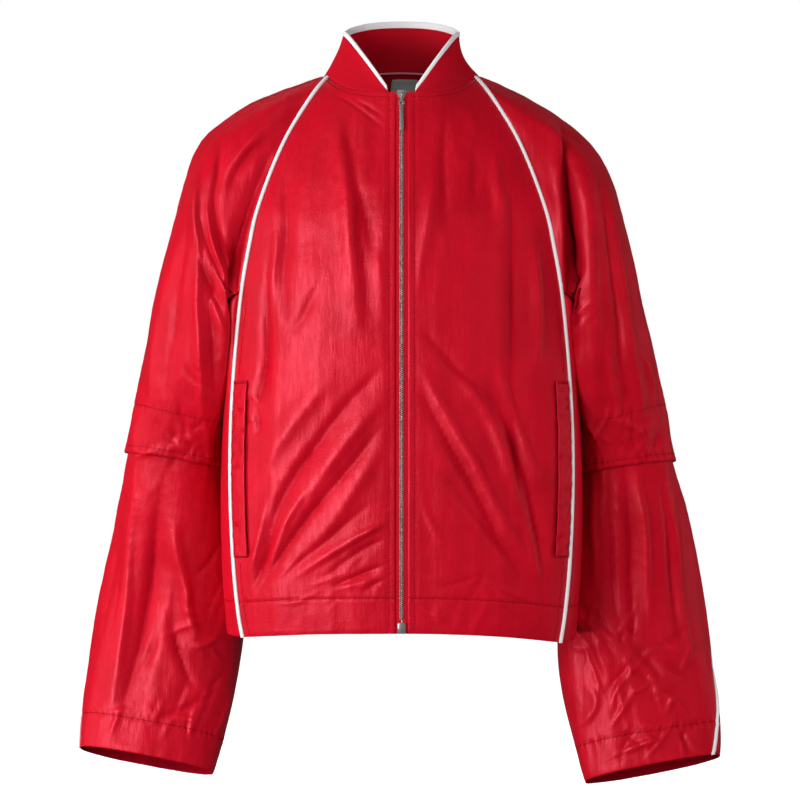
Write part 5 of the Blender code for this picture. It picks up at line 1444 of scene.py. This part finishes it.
# a modelled part's corners and faces, sorted, since a new sphere has them in another order on each run
def sortedPart(part):
    corners = np.zeros(len(part.data.vertices) * 3)
    part.data.vertices.foreach_get("co", corners)
    corners = corners.reshape(-1, 3)
    order = np.lexsort(corners.T)
    rank = np.argsort(order).tolist()
    rings = []
    for face in part.data.polygons:
        ring = [rank[v] for v in face.vertices]
        first = ring.index(min(ring))
        rings.append(ring[first:] + ring[:first])
    return corners[order], sorted(rings)


# copies one modelled part to many places in one mesh
def repeatPart(name, part, places, finish, node=None):
    corners, rings = sortedPart(part)
    points, faces = [], []
    for k, (point, *axes) in enumerate(places):
        points.append(corners @ np.array(axes) + point * mm)
        faces += [[v + k * len(corners) for v in ring] for ring in rings]
    mesh = bpy.data.meshes.new(name)
    mesh.from_pydata(np.concatenate(points).tolist(), [], faces)
    mesh.shade_smooth()
    bpy.data.objects.remove(part)
    placeInPart(newPiece(name, mesh, finish), node)


# places along a line of points: each a point, then its directions along, across and outwards
def placesAlong(points, outward, distances, ahead):
    run = lengthAlong(points[:, None], 0)[:, 0]
    at, beyond, out = (
        np.stack([np.interp(d, run, values[:, c]) for c in range(3)], axis=-1)
        for d, values in ((distances, points), (distances + ahead, points), (distances, outward))
    )
    along = unit(beyond - at)
    out = squareTo(unit(out), along)
    return at, along, np.cross(out, along), out


def makeTeeth():
    deselectAll()
    bpy.ops.mesh.primitive_cube_add(size=1.0)
    tooth = bpy.context.object
    tooth.scale = [size * mm for size in zipParts["toothSize"]]
    bpy.ops.object.transform_apply(location=False, rotation=False, scale=True)
    bpy.ops.object.mode_set(mode="EDIT")
    bpy.ops.mesh.select_all(action="SELECT")
    bpy.ops.mesh.bevel(offset=zipParts["toothBevel"] * mm, segments=1)
    bpy.ops.object.mode_set(mode="OBJECT")
    points, outward = zipLine()
    first, last = np.interp(zipParts["chain"], -points[:, 2], lengthAlong(points[:, None], 0)[:, 0])
    step = zipParts["toothPitch"] / 2
    count = np.arange(int((last - first) / step))
    at, along, across, out = placesAlong(points, outward, first + count * step, 1.0)
    aside = np.where(count % 2, 1, -1)[:, None] * np.array([zipParts["toothAside"], 0, 0])
    at = at + out * zipParts["toothOut"] + aside
    repeatPart("zip_teeth", tooth, zip(at, -across, along, out), "metal", "zip_chain")


# a rounded copy of a plain metal solid
def roundedCopy(node, body, width):
    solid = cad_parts[node]
    mesh = solid.data.copy()
    mesh.transform(solid.matrix_world)
    made = newPiece(node + "_metal", mesh, "castMetal")
    selectOnly(made)
    bpy.ops.object.mode_set(mode="EDIT")
    bpy.ops.mesh.select_all(action="SELECT")
    bpy.ops.mesh.remove_doubles(threshold=1e-6)
    bpy.ops.mesh.tris_convert_to_quads()
    bpy.ops.mesh.dissolve_limited(angle_limit=math.radians(3))
    bpy.ops.object.mode_set(mode="OBJECT")
    step = made.modifiers.new("Edge", "BEVEL")
    step.width = width * mm
    step.segments = 2
    step.limit_method = "ANGLE"
    step.angle_limit = math.radians(35)
    step.use_clamp_overlap = True
    applyModifiers(made)
    bpy.ops.object.shade_smooth_by_angle(angle=math.radians(40))
    placeInPart(made, node, body)


makeTapes()
makeTeeth()
roundedCopy("zip_slider", "jacket", 0.3)
roundedCopy("zip_pull", "pull", 0.25)
roundedCopy("zip_box", "jacket", 0.3)
print("zip made")


# the label, bare, and the thin tape on the seam behind the neck, pale pink as a painted highlight
labelPlace = {"left": 23.0, "right": -13.0, "top": 11.0, "bottom": -31.0, "wall": 0.6, "off": 0.6}
neckTape = {"from": 0.30, "to": 0.70, "up": 1.1, "out": 0.6, "off": 0.7}  # shares of the neck seam, then mm


def makeLabel():
    panel = panels["back"]
    column = panel["surface"][:, panel["surface"].shape[1] // 2]
    rows = np.linspace(*(rowAtHeight(column, labelPlace[end]) for end in ("top", "bottom")), 12)
    across = panel["surface"][8, :, 0]
    places = np.linspace(labelPlace["right"], labelPlace["left"], 12)
    columns = np.interp(places, across, np.arange(len(across)))
    grid, outward = (sample(panel[key], rows[:, None], columns) for key in ("surface", "facing"))
    grid = grid - unit(outward) * (shellWall + labelPlace["off"])
    sheetPiece("neck_label_cloth", grid, panel["flip"], labelPlace["wall"], "label", "label", "neck_label")


def makeNeckTape():
    base = finerSheet(collarGrids()[0], 1, sheetSteps["collar"])
    part = np.s_[int(len(base[0]) * neckTape["from"]) : int(len(base[0]) * neckTape["to"])]
    line, normals = base[0, part], gridNormals(base)[0, part]
    normals = normals * np.sign((normals[:, 1] * line[:, 1]).sum())
    inside = line - normals * (collarLook["wall"] + neckTape["off"])
    c, s = oval(np.linspace(0, 2 * math.pi, 8, endpoint=False), 2)
    up = unit(base[1, part] - line)
    sections = ovalSections(inside, up, neckTape["up"] * c, normals, neckTape["out"] * s)
    barPiece("neck_seam_tape", sections, "neckTape")


makeLabel()
makeNeckTape()
print("label made")


# stitches: one short thread modelled once, then set along every line of sewing
stitchPlaces = []


def sewPanel(panel, rows, columns, skip=1.5):
    points, outward = (sample(panel[key], rows, columns) for key in ("surface", "facing"))
    length = lengthAlong(points[:, None], 0)[-1, 0]
    count = int((length - 2 * skip) / sewing["pitch"])
    distances = skip + (np.arange(count) + 0.5) * sewing["pitch"]
    at, along, across, out = placesAlong(points, outward, distances, 1.2)
    stitchPlaces.extend(zip(at + out * 0.12, along, across, out))


# the column of each of a panel's rows at a distance from its first or last edge
def columnsAt(panel, edge, distance):
    step = 1 if edge == "fromFirst" else -1
    columns = np.arange(panel[edge].shape[1])[::step]
    return np.array([np.interp(distance, row[::step], columns) for row in panel[edge]])


def sewJacket():
    for name, panel in panels.items():
        lines, columns = (np.arange(count) for count in panel["points"].shape[:2])
        edge = "flapEdge" if name.startswith("sleeve_upper") else "hemBand"
        sewPanel(panel, rowsAt(panel, "fromBottom", sewing[edge]), columns)
        if edge == "flapEdge":
            sewPanel(panel, flapLine(panel, name), columns)
        if name.startswith("front"):
            sewPanel(panel, lines, columnsAt(panel, "fromFirst", sewing["zipEdge"]), 4.0)
            heights = panel["points"][:, -1, 2]
            beside = columnsAt(panel, "fromLast", sewing["pipingEdge"])
            for part in ((heights > weltTop + 3) & (heights < weltTop + 90), heights < weltBottom - 3):
                sewPanel(panel, lines[part], beside[part])
        if name.startswith(("front", "back")):
            first = 4 if name.startswith("front") else 0
            row = rowsAt(panel, "fromTop", sewing["collarEdge"])
            sewPanel(panel, row[first:], columns[first:])
    for name in sides:
        grid, normals, _, _ = weltGrid(name)
        strip = {"surface": grid, "facing": normals}
        rows, columns = (np.arange(count) for count in grid.shape[:2])
        sewPanel(strip, rows, np.full(len(rows), len(columns) - 1.6))
        for row in (0.8, len(rows) - 1.8):
            for k in range(3):  # three close rows hold each end
                sewPanel(strip, np.full(len(columns), row + 0.35 * k), columns, 0.5)
    deselectAll()
    bpy.ops.mesh.primitive_uv_sphere_add(segments=6, ring_count=4, radius=1.0)
    stitch = bpy.context.object
    stitch.rotation_euler = (0, math.pi / 2, 0)
    bpy.ops.object.transform_apply(location=False, rotation=True, scale=False)
    stitch.scale = (sewing["stitch"] / 2 * mm, sewing["thread"] * mm, sewing["thread"] * mm)
    bpy.ops.object.transform_apply(location=False, rotation=False, scale=True)
    print(f"{len(stitchPlaces)} stitches")
    repeatPart("sewing_threads", stitch, stitchPlaces, "thread")


sewJacket()
print("sewing done")
